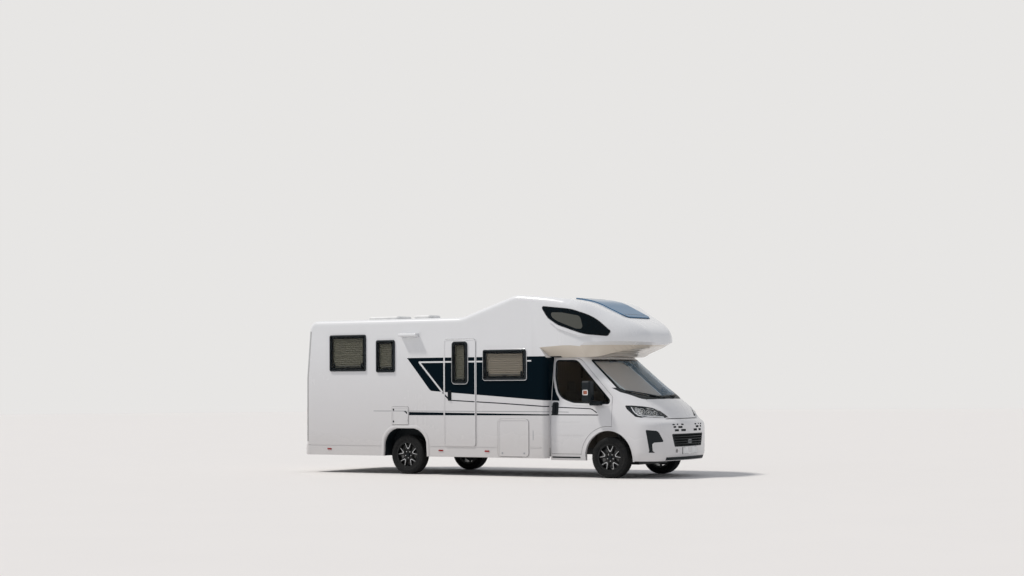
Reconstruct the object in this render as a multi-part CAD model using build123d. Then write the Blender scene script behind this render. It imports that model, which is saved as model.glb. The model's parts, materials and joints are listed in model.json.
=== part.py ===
from build123d import *
import math
import os

# Overall sizes in millimetres, +X forward, +Y left, +Z up, ground at Z 0
FRONT_OVERHANG = 1000.0
WHEELBASE = 4035.0
REAR_OVERHANG = 2250.0
LENGTH = FRONT_OVERHANG + WHEELBASE + REAR_OVERHANG
FRONT_AXLE = LENGTH / 2 - FRONT_OVERHANG
REAR_AXLE = FRONT_AXLE - WHEELBASE
BODY_WIDTH = 2300.0
REAR_ROOF_Z = 2750.0
PEAK_Z = 3116.0
FLOOR_Z = 500.0
SKIRT_Z = 320.0

# Panel thicknesses and clearances
WALL = 34.0
FLOOR_T = 50.0
SKIRT_T = 24.0
CAB_PANEL = 50.0
GLASS = 12.0
SHUT_GAP = 6.0
RUN_GAP = 6.0

# Wheels and axles
TYRE_D = 690.0
TYRE_W = 215.0
RIM_D = 466.0
RIM_W = 190.0
TRACK_FRONT = 1810.0
TRACK_REAR = 1980.0
SPOKE_PAIRS = 5
BOLT_CIRCLE_D = 118.0
BOLT_D = 26.0
FRONT_ARCH_R = 448.0
FRONT_ARCH_STRIP = 76.0

# Habitation body stations, measured ahead of the front axle
BUMPER_OUT = 33.0
REAR_FACE = BUMPER_OUT - WHEELBASE - REAR_OVERHANG
REAR_LEAN = 87.0
REAR_TOP = REAR_FACE + REAR_LEAN
REAR_LEAN_Z = 1700.0
STEP_FOOT = -2860.0
PEAK = -1760.0
NOSE_JOINT = -1420.0
HOUSE_FRONT = -1140.0
CAB_TOP_Z = 2030.0
EDGE_R = 90.0
ROOF_BAND = EDGE_R + 18.0
REAR_RETURN = REAR_TOP + 45.0
COLLAR_HALF = 1045.0

HALF = BODY_WIDTH / 2
HUB_Z = TYRE_D / 2


# A station ahead of the front axle in the row frame
def fx(d):
    return FRONT_AXLE + d


# Closed face from corners (u, v, corner radius)
def outline(corners):
    points = [(u, v) for u, v, r in corners]
    radii = [r for u, v, r in corners]
    return make_face(FilletPolyline(*points, radius=radii, close=True))


# Corners with one common radius
def rounded(points, radius):
    return outline([(u, v, radius) for u, v in points])


# Rectangle between two corners with rounded corners
def panel(u0, u1, v0, v1, radius):
    return Pos((u0 + u1) / 2, (v0 + v1) / 2) * RectangleRounded(abs(u1 - u0), abs(v1 - v0), radius)


# Prism of an XZ face, given ahead of the front axle, between two Y
def along_y(face, y0, y1):
    return Pos(FRONT_AXLE, y1, 0) * (Plane.XZ * extrude(face, y1 - y0))


# Prism of a YZ face between two stations
def along_x(face, d0, d1):
    return Pos(fx(d0), 0, 0) * (Plane.YZ * extrude(face, d1 - d0))


# Prism of a plan face, given ahead of the front axle, between two heights
def along_z(face, z0, z1):
    return Pos(FRONT_AXLE, 0, z0) * extrude(face, z1 - z0)


# Box between stations ahead of the front axle, Y and Z
def block(d0, d1, y0, y1, z0, z1):
    size = (abs(d1 - d0), abs(y1 - y0), abs(z1 - z0))
    return Pos(fx((d0 + d1) / 2), (y0 + y1) / 2, (z0 + z1) / 2) * Box(*size)


def mirrored(shape):
    return mirror(shape, about=Plane.XZ)


def both(shape):
    return [shape, mirrored(shape)]


def rod_y(d, y0, y1, z, radius):
    return Pos(fx(d), (y0 + y1) / 2, z) * Rot(90, 0, 0) * Cylinder(radius, abs(y1 - y0))


# Slopes of a smooth curve through points that doesn't swing past them
def gentle_slopes(xs, ys):
    steps = [(ys[i + 1] - ys[i]) / (xs[i + 1] - xs[i]) for i in range(len(xs) - 1)]
    slopes = [steps[0]]
    for a, b in zip(steps, steps[1:]):
        slopes.append(2 * a * b / (a + b) if a * b > 0 else 0.0)
    return slopes + [steps[-1]]


# A table with extra rows put evenly between its own, each column on its smooth curve
def fine_rows(rows, parts):
    xs = [row[0] for row in rows]
    columns = [[row[k] for row in rows] for k in range(1, len(rows[0]))]
    slopes = [gentle_slopes(xs, ys) for ys in columns]
    out = []
    for i in range(len(xs) - 1):
        h = xs[i + 1] - xs[i]
        for j in range(parts):
            t = j / parts
            row = [xs[i] + t * h]
            for ys, m in zip(columns, slopes):
                a = ys[i] * (1 + 2 * t) * (1 - t) ** 2 + m[i] * h * t * (1 - t) ** 2
                b = ys[i + 1] * t * t * (3 - 2 * t) + m[i + 1] * h * t * t * (t - 1)
                row.append(a + b)
            out.append(row)
    return out + [list(rows[-1])]


NODES = {}


# Keeps a node: every solid of the given shapes
def node(name, *shapes):
    solids = []
    for shape in shapes:
        group = shape if isinstance(shape, (list, tuple)) else [shape]
        for item in group:
            solids += [s for s in item.solids() if s.volume > 500.0]
    NODES[name] = solids[0] if len(solids) == 1 else Compound(children=solids)


# Habitation body outside: side profile, straight across, with one round along roof and rear edges
PROFILE = [
    (REAR_FACE, FLOOR_Z, 0.0),
    (REAR_FACE, REAR_LEAN_Z, 900.0),
    (REAR_TOP, REAR_ROOF_Z, 170.0),
    (STEP_FOOT, REAR_ROOF_Z, 400.0),
    (PEAK, PEAK_Z, 500.0),
    (NOSE_JOINT, 3088.0, 0.0),
    (NOSE_JOINT, CAB_TOP_Z, 0.0),
    (HOUSE_FRONT, CAB_TOP_Z, 0.0),
    (HOUSE_FRONT, FLOOR_Z, 0.0),
]
INNER_PROFILE = [
    (REAR_FACE, FLOOR_Z - 100.0, 0.0),
    *PROFILE[1:5],
    (HOUSE_FRONT, 3065.0, 0.0),
    (HOUSE_FRONT, FLOOR_Z - 100.0, 0.0),
]


def on_long_edge(edge, half, front):
    box = edge.bounding_box()
    flat = box.max.Y - box.min.Y < 0.1 and abs(abs(box.max.Y) - half) < 0.1
    low = box.max.Z < FLOOR_Z + 1 or (box.min.X > fx(NOSE_JOINT) - 1 and box.max.Z > CAB_TOP_Z - 1)
    end = box.max.X - box.min.X < 1 and box.min.X > fx(HOUSE_FRONT) - 1
    return flat and (end if front else not low and not end)


house_outer = along_y(outline(PROFILE), -HALF, HALF)
edges = [e for e in house_outer.edges() if on_long_edge(e, HALF, False)]
edges += [e for e in house_outer.edges() if on_long_edge(e, HALF, True)]
house_outer = fillet(edges, EDGE_R)
inner_face = offset(outline(INNER_PROFILE), amount=-WALL, kind=Kind.INTERSECTION)
house_inner = along_y(inner_face, -HALF + WALL, HALF - WALL)
house_shell = house_outer - house_inner

roof_zone = along_y(
    outline([
        (REAR_FACE - 200, REAR_ROOF_Z - ROOF_BAND, 0.0),
        (STEP_FOOT + 18, REAR_ROOF_Z - ROOF_BAND, 400.0),
        (PEAK + 10, PEAK_Z - ROOF_BAND, 400.0),
        (NOSE_JOINT + 300, 3064.0 - ROOF_BAND, 0.0),
        (NOSE_JOINT + 300, 3400.0, 0.0),
        (REAR_FACE - 200, 3400.0, 0.0),
    ]),
    -HALF - 50, HALF + 50,
)
roof_panel = house_shell & roof_zone
below_roof = house_shell - roof_zone
rear_zone = block(REAR_FACE - 200, REAR_RETURN, -HALF - 50, HALF + 50, 0, 3400)
collar_zone = block(HOUSE_FRONT - WALL, HOUSE_FRONT + 50, -COLLAR_HALF, COLLAR_HALF, 0, CAB_TOP_Z + 50)
rear_wall = below_roof & rear_zone
bulkhead = below_roof & collar_zone
sides = below_roof - rear_zone - collar_zone

# Window frames, name, side, rear and front station, bottom and top height, corner radius
WINDOWS = [
    ("bedroom_right", -1, -5689.0, -4885.0, 1826.0, 2481.0, 34.0),
    ("washroom_right", -1, -4659.0, -4254.0, 1802.0, 2376.0, 34.0),
    ("dinette_right", -1, -2397.0, -1529.0, 1654.0, 2174.0, 34.0),
    ("bedroom_left", 1, -5689.0, -4885.0, 1826.0, 2481.0, 34.0),
    ("kitchen_left", 1, -3700.0, -2822.0, 1654.0, 2174.0, 34.0),
    ("dinette_left", 1, -2397.0, -1529.0, 1654.0, 2174.0, 34.0),
]
WINDOW_FLANGE = 30.0
WINDOW_OPEN_R = 14.0
WINDOW_PROUD = 26.0
WINDOW_CHAMFER = 10.0
PANE_T = 20.0

# Hatches and doors in the side walls, side, stations, heights, corner radius
ENTRY = (-1, -3209.0, -2545.0, 502.0, 2375.0, 60.0)
LOCKER = (-1, -2106.0, -1478.0, 337.0, 988.0, 70.0)
CASSETTE = (-1, -4325.0, -3962.0, 869.0, 1199.0, 30.0)
GARAGE = (1, -5900.0, -4950.0, 620.0, 1560.0, 60.0)
VENTS = [(1, -4700.0, -4250.0, 1050.0, 1250.0), (1, -4700.0, -4250.0, 1750.0, 1950.0)]

# Rear wheel arch outline about the rear axle
REAR_ARCH = [(-470.0, 200.0, 0.0), (-440.0, 812.0, 320.0), (440.0, 812.0, 320.0), (470.0, 200.0, 0.0)]
rear_arch = outline([(u - WHEELBASE, v, r) for u, v, r in REAR_ARCH])


# Cut through one side wall
def through(side, face):
    y = (HALF - WALL - 60, HALF + 60)
    return along_y(face, y[0], y[1]) if side > 0 else along_y(face, -y[1], -y[0])


# Slab in a wall between two depths inward of the outside face, negative is proud
def slab(side, face, proud, depth):
    y0, y1 = HALF - depth, HALF + proud
    return along_y(face, y0, y1) if side > 0 else along_y(face, -y1, -y0)


cuts = {1: [through(1, rear_arch)], -1: [through(-1, rear_arch)]}
window_solids = []
for name, side, d0, d1, z0, z1, r in WINDOWS:
    e = WINDOW_FLANGE
    opening = panel(d0 + e, d1 - e, z0 + e, z1 - e, WINDOW_OPEN_R)
    cuts[side].append(through(side, opening))
    flange = slab(side, panel(d0, d1, z0, z1, r), WINDOW_PROUD, 0.0)
    outer_edges = flange.faces().sort_by(Axis.Y)[0 if side < 0 else -1].edges()
    flange = chamfer(outer_edges, WINDOW_CHAMFER)
    window_solids.append(flange + slab(side, opening, 0.0, PANE_T))
for side, d0, d1, z0, z1, r in (ENTRY, LOCKER, CASSETTE, GARAGE):
    cuts[side].append(through(side, panel(d0, d1, z0, z1, r)))
vent_solids = []
for side, d0, d1, z0, z1 in VENTS:
    cuts[side].append(through(side, panel(d0, d1, z0, z1, 12.0)))
    plate = slab(side, panel(d0 - 20, d1 + 20, z0 - 20, z1 + 20, 20.0), 8.0, 0.0)
    plug = slab(side, panel(d0, d1, z0, z1, 12.0), 0.0, 18.0)
    grid = plate + plug
    for k in range(6):
        z = z0 + 22 + k * (z1 - z0 - 44) / 5
        slot = Pos((d0 + d1) / 2, z) * Rectangle(d1 - d0 - 30, 12.0)
        grid -= slab(side, slot, 9.0, 10.0)
    vent_solids.append(grid)

right_side = sides & block(REAR_FACE - 100, HOUSE_FRONT + 100, -HALF - 50, -200, 0, 3400)
left_side = sides & block(REAR_FACE - 100, HOUSE_FRONT + 100, 200, HALF + 50, 0, 3400)
for cut in cuts[-1]:
    right_side -= cut
for cut in cuts[1]:
    left_side -= cut

# Alcove, cross sections along X: station, half width, half width of the bottom,
# bottom height, height where the side starts, top height, top corner radius
ALCOVE = [
    (NOSE_JOINT, 1150.0, 1149.0, 2030.0, 2034.0, 3088.0, 92.0),
    (-1140.0, 1150.0, 1149.0, 2030.0, 2034.0, 3064.0, 104.0),
    (-800.0, 1147.0, 1144.0, 2030.0, 2036.0, 3026.0, 140.0),
    (-560.0, 1124.0, 1020.0, 2031.0, 2150.0, 2976.0, 190.0),
    (-420.0, 1098.0, 930.0, 2032.0, 2272.0, 2924.0, 240.0),
    (-300.0, 1066.0, 845.0, 2040.0, 2284.0, 2866.0, 290.0),
    (-120.0, 1004.0, 700.0, 2092.0, 2290.0, 2780.0, 340.0),
    (60.0, 914.0, 575.0, 2136.0, 2292.0, 2694.0, 340.0),
    (200.0, 810.0, 465.0, 2166.0, 2290.0, 2626.0, 305.0),
    (300.0, 706.0, 380.0, 2186.0, 2288.0, 2570.0, 262.0),
    (380.0, 594.0, 300.0, 2204.0, 2285.0, 2511.0, 206.0),
    (435.0, 486.0, 236.0, 2222.0, 2281.0, 2451.0, 150.0),
    (468.0, 388.0, 180.0, 2238.0, 2276.0, 2392.0, 95.0),
    (486.0, 284.0, 140.0, 2248.0, 2266.0, 2320.0, 30.0),
]
ALCOVE_ROWS = fine_rows(ALCOVE, 2)


# One cross section of the alcove as a wire in its YZ plane
def alcove_wire(d, w, wb, zb, zs, zt, r):
    x = fx(d)
    q = r * (1 - math.sqrt(0.5))
    pts = [(-wb, zb), (wb, zb), (w, zs), (w, zt - r), (w - q, zt - q), (w - r, zt),
           (r - w, zt), (q - w, zt - q), (-w, zt - r), (-w, zs)]
    p = [Vector(x, y, z) for y, z in pts]
    return Wire([
        Edge.make_line(p[0], p[1]),
        Edge.make_line(p[1], p[2]),
        Edge.make_line(p[2], p[3]),
        Edge.make_three_point_arc(p[3], p[4], p[5]),
        Edge.make_line(p[5], p[6]),
        Edge.make_three_point_arc(p[6], p[7], p[8]),
        Edge.make_line(p[8], p[9]),
        Edge.make_line(p[9], p[0]),
    ])


# The alcove solid, moved in by an inset; open inner solids start behind the joint
def alcove_solid(inset, rear, nose_shift):
    wires = []
    for d, w, wb, zb, zs, zt, r in ALCOVE_ROWS:
        tall = (zt - zb) - 2 * inset
        if tall < 24:
            continue
        shift = nose_shift * max(0.0, (d + 330.0) / 994.0)
        z_side = min(max(zs + inset * 0.4, zb + inset + 3), zt - inset - max(r - inset, 8.0) - 4)
        low = wb - inset * 0.8
        wires.append(alcove_wire(d - shift, w - inset, low, zb + inset, z_side, zt - inset,
                                 max(r - inset, 8.0)))
    if rear:
        d, w, wb, zb, zs, zt, r = ALCOVE[0]
        first = alcove_wire(d - rear, w - inset, wb - inset * 0.8, zb + inset,
                            zb + inset + 3, zt - inset, max(r - inset, 8.0))
        wires.insert(0, first)
    return Solid.make_loft(wires, ruled=True)


# Scoops under both sides of the alcove: rear foot, slant of the rear face, front end,
# side heights at both ends, half width left at the bottom
SCOOP_FOOT = -1128.0
SCOOP_SLANT = 148.0
SCOOP_FRONT = -440.0
SCOOP_REAR_Z = 2221.0
SCOOP_FRONT_Z = 2284.0
SCOOP_HALF = 950.0


# The tool that cuts one scoop, moved in by a panel thickness
def alcove_scoop(inset):
    y_out, z_low = -HALF - 20.0, CAB_TOP_Z - 10.0
    back = inset * 1.26
    rear = [(SCOOP_FOOT - SCOOP_SLANT - back, y_out, SCOOP_REAR_Z + inset * 1.36),
            (SCOOP_FOOT - back, y_out, z_low), (SCOOP_FOOT - back, inset * 1.48 - SCOOP_HALF, z_low)]
    front = [(SCOOP_FRONT, y_out, SCOOP_FRONT_Z + inset * 1.36),
             (SCOOP_FRONT, y_out, z_low), (SCOOP_FRONT, inset * 1.48 - SCOOP_HALF, z_low)]
    wires = [Wire.make_polygon([Vector(fx(d), y, z) for d, y, z in ends], close=True) for ends in (rear, front)]
    return Solid.make_loft(wires, ruled=True)


scoop = alcove_scoop(0.0)
inner_scoop = alcove_scoop(WALL)
alcove_outer = alcove_solid(0.0, 0.0, 0.0) - scoop - mirrored(scoop)
alcove_inner = alcove_solid(WALL, 120.0, 40.0) - inner_scoop - mirrored(inner_scoop)
alcove_shell = alcove_outer - alcove_inner

# Eye shaped alcove window and the dark rooflight
ALCOVE_WINDOW = [
    (-1222.0, 2900.0, 24.0), (-650.0, 2840.0, 900.0), (-280.0, 2712.0, 900.0), (0.0, 2458.0, 24.0),
    (-40.0, 2384.0, 40.0), (-420.0, 2424.0, 900.0), (-900.0, 2588.0, 500.0), (-1100.0, 2716.0, 300.0),
]
ROOFLIGHT = [(-935.0, -520.0), (55.0, -430.0), (55.0, 430.0), (-935.0, 520.0)]
alcove_window_face = outline(ALCOVE_WINDOW)
alcove_grown = alcove_solid(-10.0, 0.0, 0.0)
window_cut = along_y(alcove_window_face, -1300, -700)
window_ring = alcove_grown - alcove_solid(22.0, 60.0, 26.0)
alcove_window = window_ring & window_cut
rooflight_cut = along_z(rounded(ROOFLIGHT, 90.0), 2400, 3300)
rooflight = (alcove_solid(-22.0, 0.0, 0.0) - alcove_solid(WALL, 120.0, 40.0)) & rooflight_cut
alcove_shell = alcove_shell - window_cut - mirrored(window_cut) - rooflight_cut

node("roof_panel", roof_panel)
node("rear_wall", rear_wall)
node("side_wall_right", right_side)
node("side_wall_left", left_side)
node("side_windows", window_solids)
node("side_vents", vent_solids)
node("alcove_shell", alcove_shell)
node("alcove_windows", both(alcove_window))
node("alcove_rooflight", rooflight)


# Floor with cut-outs for the wheel boxes
BOX_HALF_LENGTH = 500.0
BOX_INNER_Y = 820.0
BOX_TOP_Z = 850.0
BOX_T = 20.0
floor = block(REAR_FACE + WALL, HOUSE_FRONT - WALL, -HALF + WALL, HALF - WALL, FLOOR_Z, FLOOR_Z + FLOOR_T)
wheel_boxes = []
for sign in (-1, 1):
    y0, y1 = sorted((sign * BOX_INNER_Y, sign * (HALF - WALL)))
    hole = block(-WHEELBASE - BOX_HALF_LENGTH, -WHEELBASE + BOX_HALF_LENGTH, y0, y1, 0, BOX_TOP_Z)
    floor -= hole
    core = block(-WHEELBASE - BOX_HALF_LENGTH + BOX_T, -WHEELBASE + BOX_HALF_LENGTH - BOX_T,
                 min(y0, y1) + (BOX_T if sign > 0 else -BOX_T), max(y0, y1) + (BOX_T if sign > 0 else -BOX_T),
                 0, BOX_TOP_Z - BOX_T)
    shell = block(-WHEELBASE - BOX_HALF_LENGTH, -WHEELBASE + BOX_HALF_LENGTH, y0, y1, FLOOR_Z, BOX_TOP_Z)
    wheel_boxes.append(shell - core)
node("habitation_floor", floor)
node("wheel_boxes", wheel_boxes)

# Passage between cabin and cab
PASSAGE_HALF = 420.0
bulkhead_open = block(HOUSE_FRONT - 100, HOUSE_FRONT + 100, -PASSAGE_HALF, PASSAGE_HALF, FLOOR_Z + FLOOR_T, 1985)
node("bulkhead", bulkhead - bulkhead_open)

# Skirts under both side walls
SKIRT_REAR = REAR_RETURN
SKIRT_RETURN_Y = 1030.0
skirt_plan = outline([
    (SKIRT_REAR, HALF, 0.0), (HOUSE_FRONT, HALF, EDGE_R), (HOUSE_FRONT, SKIRT_RETURN_Y, 0.0),
    (HOUSE_FRONT - SKIRT_T, SKIRT_RETURN_Y, 0.0), (HOUSE_FRONT - SKIRT_T, HALF - SKIRT_T, EDGE_R - SKIRT_T),
    (SKIRT_REAR, HALF - SKIRT_T, 0.0),
])
left_skirt = along_z(skirt_plan, SKIRT_Z, FLOOR_Z) - along_y(rear_arch, -HALF - 50, HALF + 50)
right_skirt = mirrored(left_skirt) - through(-1, panel(*LOCKER[1:]))
node("side_skirts", left_skirt, right_skirt)

# Moving panels in the side walls sit in their openings with a gap all round
def wall_panel(entry, proud, gap):
    side, d0, d1, z0, z1, r = entry
    face = panel(d0 + gap, d1 - gap, z0 + gap, z1 - gap, r - gap)
    return slab(side, face, proud, WALL)


DOOR_PROUD = 10.0
HATCH_PROUD = 6.0
DOOR_WINDOW = (-3033.0, -2713.0, 1594.0, 2327.0)
DOOR_FRAME = 34.0
door_frame_face = panel(*DOOR_WINDOW, 64.0)
door_window_face = panel(DOOR_WINDOW[0] + DOOR_FRAME, DOOR_WINDOW[1] - DOOR_FRAME,
                         DOOR_WINDOW[2] + DOOR_FRAME, DOOR_WINDOW[3] - DOOR_FRAME, 30.0)
entry_door = wall_panel(ENTRY, DOOR_PROUD, SHUT_GAP) - through(-1, door_window_face)
entry_pane = slab(-1, door_window_face, DOOR_PROUD, PANE_T)
entry_pane += slab(-1, door_frame_face, DOOR_PROUD + 12.0, -DOOR_PROUD)
node("entry_door", entry_door)
node("entry_door_window", entry_pane)
node("locker_hatch", wall_panel(LOCKER, HATCH_PROUD, SHUT_GAP))
node("cassette_hatch", wall_panel(CASSETTE, HATCH_PROUD, SHUT_GAP))
node("garage_door", wall_panel(GARAGE, HATCH_PROUD, SHUT_GAP))

# Roof fittings: station, Y centre, length, width, height
ROOF_VENTS = [
    (-5050.0, -150.0, 720.0, 520.0, 78.0),
    (-4230.0, -150.0, 420.0, 420.0, 86.0),
    (-3400.0, 420.0, 420.0, 420.0, 70.0),
]
vents = []
for d, y, length, width, height in ROOF_VENTS:
    base = block(d - length / 2, d + length / 2, y - width / 2, y + width / 2, REAR_ROOF_Z, REAR_ROOF_Z + 22)
    dome = block(d - length / 2 + 25, d + length / 2 - 25, y - width / 2 + 25, y + width / 2 - 25,
                 REAR_ROOF_Z + 22, REAR_ROOF_Z + height)
    dome = fillet(dome.edges().filter_by(Axis.Z), 50.0)
    dome = chamfer(dome.faces().sort_by(Axis.Z)[-1].edges(), 22.0)
    vents.append(base + dome)
node("roof_vents", vents)

# Awning lamp over the right side
LAMP = (-4113.0, -3744.0, 2418.0, 2490.0)
LAMP_OUT = 110.0
lamp_face = outline([(-HALF, LAMP[2], 0.0), (-HALF, LAMP[3], 0.0), (-HALF - LAMP_OUT, LAMP[3] - 8, 18.0),
                     (-HALF - LAMP_OUT, LAMP[2] + 18, 18.0)])
node("awning_lamp", along_x(lamp_face, LAMP[0], LAMP[1]))

# Rear bumper and lamp clusters
BUMPER_REAR = -REAR_OVERHANG - WHEELBASE
bumper_plan = outline([
    (REAR_RETURN, -HALF, 0.0), (BUMPER_REAR, -HALF, 120.0), (BUMPER_REAR, HALF, 120.0), (REAR_RETURN, HALF, 0.0),
    (REAR_RETURN, HALF - 60, 0.0), (BUMPER_REAR + 60, HALF - 60, 70.0), (BUMPER_REAR + 60, 60 - HALF, 70.0),
    (REAR_RETURN, 60 - HALF, 0.0),
])
rear_bumper = along_z(bumper_plan, SKIRT_Z, FLOOR_Z)
LAMP_Z = [(640.0, 820.0), (830.0, 1010.0), (1020.0, 1200.0)]
rear_lamps = []
for sign in (-1, 1):
    for z0, z1 in LAMP_Z:
        y = sign * 985.0
        face = Pos(y, (z0 + z1) / 2) * RectangleRounded(150.0, z1 - z0, 40.0)
        rear_lamps.append(along_x(face, REAR_FACE - 26.0, REAR_FACE))
node("rear_bumper", rear_bumper)
node("rear_lamps", rear_lamps)

# Cab, stacked plan sections: height, nose station, half width, front radius, corner radius
CAB_BACK = HOUSE_FRONT
CAB = [
    (290.0, 955.0, 985.0, 3200.0, 400.0),
    (420.0, 998.0, 1015.0, 3200.0, 420.0),
    (740.0, 1000.0, 1025.0, 3200.0, 420.0),
    (880.0, 994.0, 1025.0, 3200.0, 420.0),
    (930.0, 972.0, 1023.0, 3100.0, 420.0),
    (985.0, 905.0, 1020.0, 2900.0, 420.0),
    (1130.0, 806.0, 1004.0, 2500.0, 390.0),
    (1312.0, 600.0, 975.0, 2100.0, 330.0),
    (1660.0, 170.0, 924.0, 1900.0, 225.0),
    (2030.0, -300.0, 862.0, 2000.0, 140.0),
]
CAB_ROWS = fine_rows(CAB, 3)
SILL_Z = CAB[0][0]


# One plan section of the cab as a wire
def cab_wire(z, nose, w, front_r, corner_r, back):
    xc = nose - front_r
    yc = w - corner_r
    cx = xc + math.sqrt((front_r - corner_r) ** 2 - yc ** 2)
    phi = math.atan2(yc, cx - xc)
    mid = (math.pi / 2 + phi) / 2
    px, py = xc + front_r * math.cos(phi), front_r * math.sin(phi)
    mx, my = cx + corner_r * math.cos(mid), yc + corner_r * math.sin(mid)
    flat = [(back, w), (cx, w), (mx, my), (px, py), (nose, 0.0), (px, -py), (mx, -my), (cx, -w), (back, -w)]
    p = [Vector(fx(u), v, z) for u, v in flat]
    return Wire([
        Edge.make_line(p[0], p[1]),
        Edge.make_three_point_arc(p[1], p[2], p[3]),
        Edge.make_three_point_arc(p[3], p[4], p[5]),
        Edge.make_three_point_arc(p[5], p[6], p[7]),
        Edge.make_line(p[7], p[8]),
        Edge.make_line(p[8], p[0]),
    ])


# Cab solid moved in by an inset, inner ones run out through the bottom, top and back
def cab_solid(inset, nose_inset):
    rows = [list(row) for row in CAB_ROWS]
    back = CAB_BACK
    if inset > 0:
        rows[0][0] -= 20
        rows[-1][0] += 1
        back -= 40
    wires = [cab_wire(z, nose - nose_inset, w - inset, rf - inset, rc - inset, back)
             for z, nose, w, rf, rc in rows]
    return Solid.make_loft(wires, ruled=True)


cab_outer = cab_solid(0.0, 0.0)
cab_inner = cab_solid(CAB_PANEL, CAB_PANEL)
cab_shell = cab_outer - cab_inner
cab_glass = cab_outer - cab_solid(GLASS, GLASS)

# Cab door outline, its window, both seen from the side
DOOR_FRONT = 48.0
DOOR_BACK = -1122.0
DOOR_SILL_Z = 400.0
DOOR_TOP_Z = 2016.0
door_corners = [
    (DOOR_BACK, DOOR_SILL_Z, 30.0), (DOOR_BACK, DOOR_TOP_Z, 30.0), (-622.0, DOOR_TOP_Z, 260.0), (DOOR_FRONT, 1357.0, 60.0),
    (DOOR_FRONT, DOOR_SILL_Z, 0.0),
]
ARCH_CENTRE = (-15.0, HUB_Z)
door_round = Pos(*ARCH_CENTRE) * Circle(FRONT_ARCH_R + FRONT_ARCH_STRIP)
door_face = outline(door_corners) - door_round
gap_corners = [
    (DOOR_BACK - SHUT_GAP, DOOR_SILL_Z - SHUT_GAP, 30.0 + SHUT_GAP), (DOOR_BACK - SHUT_GAP, DOOR_TOP_Z + SHUT_GAP, 36.0),
    (-622.0 + 2.6, DOOR_TOP_Z + SHUT_GAP, 266.0), (DOOR_FRONT + SHUT_GAP, 1357.0 + 3.0, 66.0),
    (DOOR_FRONT + SHUT_GAP, DOOR_SILL_Z - SHUT_GAP, 0.0),
]
gap_round = Pos(*ARCH_CENTRE) * Circle(FRONT_ARCH_R + FRONT_ARCH_STRIP - SHUT_GAP)
door_gap_face = outline(gap_corners) - gap_round
CAB_WINDOW = [
    (-1094.0, 1984.0, 60.0), (-1082.0, 1690.0, 600.0), (-985.0, 1352.0, 280.0), (-700.0, 1262.0, 300.0),
    (-10.0, 1240.0, 34.0), (4.0, 1308.0, 50.0), (-682.0, 1984.0, 190.0),
]
cab_window_face = outline(CAB_WINDOW)
door_cut = along_y(door_gap_face, -1200, -700)
door_zone = along_y(door_face, -1200, -700)
door_window_cut = along_y(cab_window_face, -1200, -700)
# The inner back edge of the door is turned about its hinge, to swing clear of the house wall
DOOR_HINGE = (51.0, 1028.5)
DOOR_REACH = DOOR_HINGE[0] - HOUSE_FRONT - 7.0
door_swing = Pos(fx(DOOR_HINGE[0]), -DOOR_HINGE[1], 1200) * Cylinder(DOOR_REACH, 3200)
cab_door = ((cab_shell & door_zone) - door_window_cut) & door_swing
cab_door_glass = cab_glass & door_window_cut

# Windscreen outline from the front
WINDSCREEN = [
    (-835.0, 1994.0, 50.0), (835.0, 1994.0, 50.0), (908.0, 1494.0, 50.0), (800.0, 1402.0, 200.0),
    (430.0, 1338.0, 600.0), (-430.0, 1338.0, 600.0), (-800.0, 1402.0, 200.0), (-908.0, 1494.0, 50.0),
]
# Dark cowl below the windscreen, from the front
COWL = [
    (-938.0, 1512.0, 0.0), (-918.0, 1436.0, 30.0), (-740.0, 1330.0, 200.0), (-430.0, 1280.0, 600.0),
    (430.0, 1280.0, 600.0), (740.0, 1330.0, 200.0), (918.0, 1436.0, 30.0), (938.0, 1512.0, 0.0),
]
screen_cut = along_x(outline(WINDSCREEN), -760, 700)
windscreen = cab_glass & screen_cut

# Head lamp and air panel outlines, drawn square to a line turned from the Y axis
LOOK = 27.5
HEAD_AT = (720.0, -820.0, 1100.0)
HEADLAMP = [
    (-460.0, 1216.0, 12.0), (-352.0, 1216.0, 60.0), (-161.0, 1201.0, 300.0), (17.0, 1170.0, 200.0), (132.0, 1105.0, 60.0),
    (250.0, 1004.0, 8.0), (-136.0, 1022.0, 40.0), (-187.0, 1013.0, 60.0), (-285.0, 1028.0, 60.0), (-428.0, 1154.0, 60.0),
]
AIR_AT = (800.0, -780.0, 620.0)
AIR_PANEL = [
    (-208.0, 813.0, 14.0), (-20.0, 796.0, 50.0), (16.0, 763.0, 40.0), (94.0, 612.0, 16.0), (-70.0, 601.0, 30.0),
    (-100.0, 575.0, 20.0), (-92.0, 466.0, 20.0), (-52.0, 435.0, 4.0), (-162.0, 435.0, 4.0), (-150.0, 466.0, 20.0),
    (-170.0, 589.0, 100.0),
]


# Prism along the slanted line through an anchor given by station, Y and Z
def slanted(corners, anchor, reach):
    d, y, z = anchor
    turn = math.radians(LOOK)
    plane = Plane(origin=(fx(d), y, 0), x_dir=(math.cos(turn), math.sin(turn), 0),
                  z_dir=(math.sin(turn), -math.cos(turn), 0))
    return plane * Pos(0, 0, -reach) * extrude(outline(corners), 2 * reach)


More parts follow.
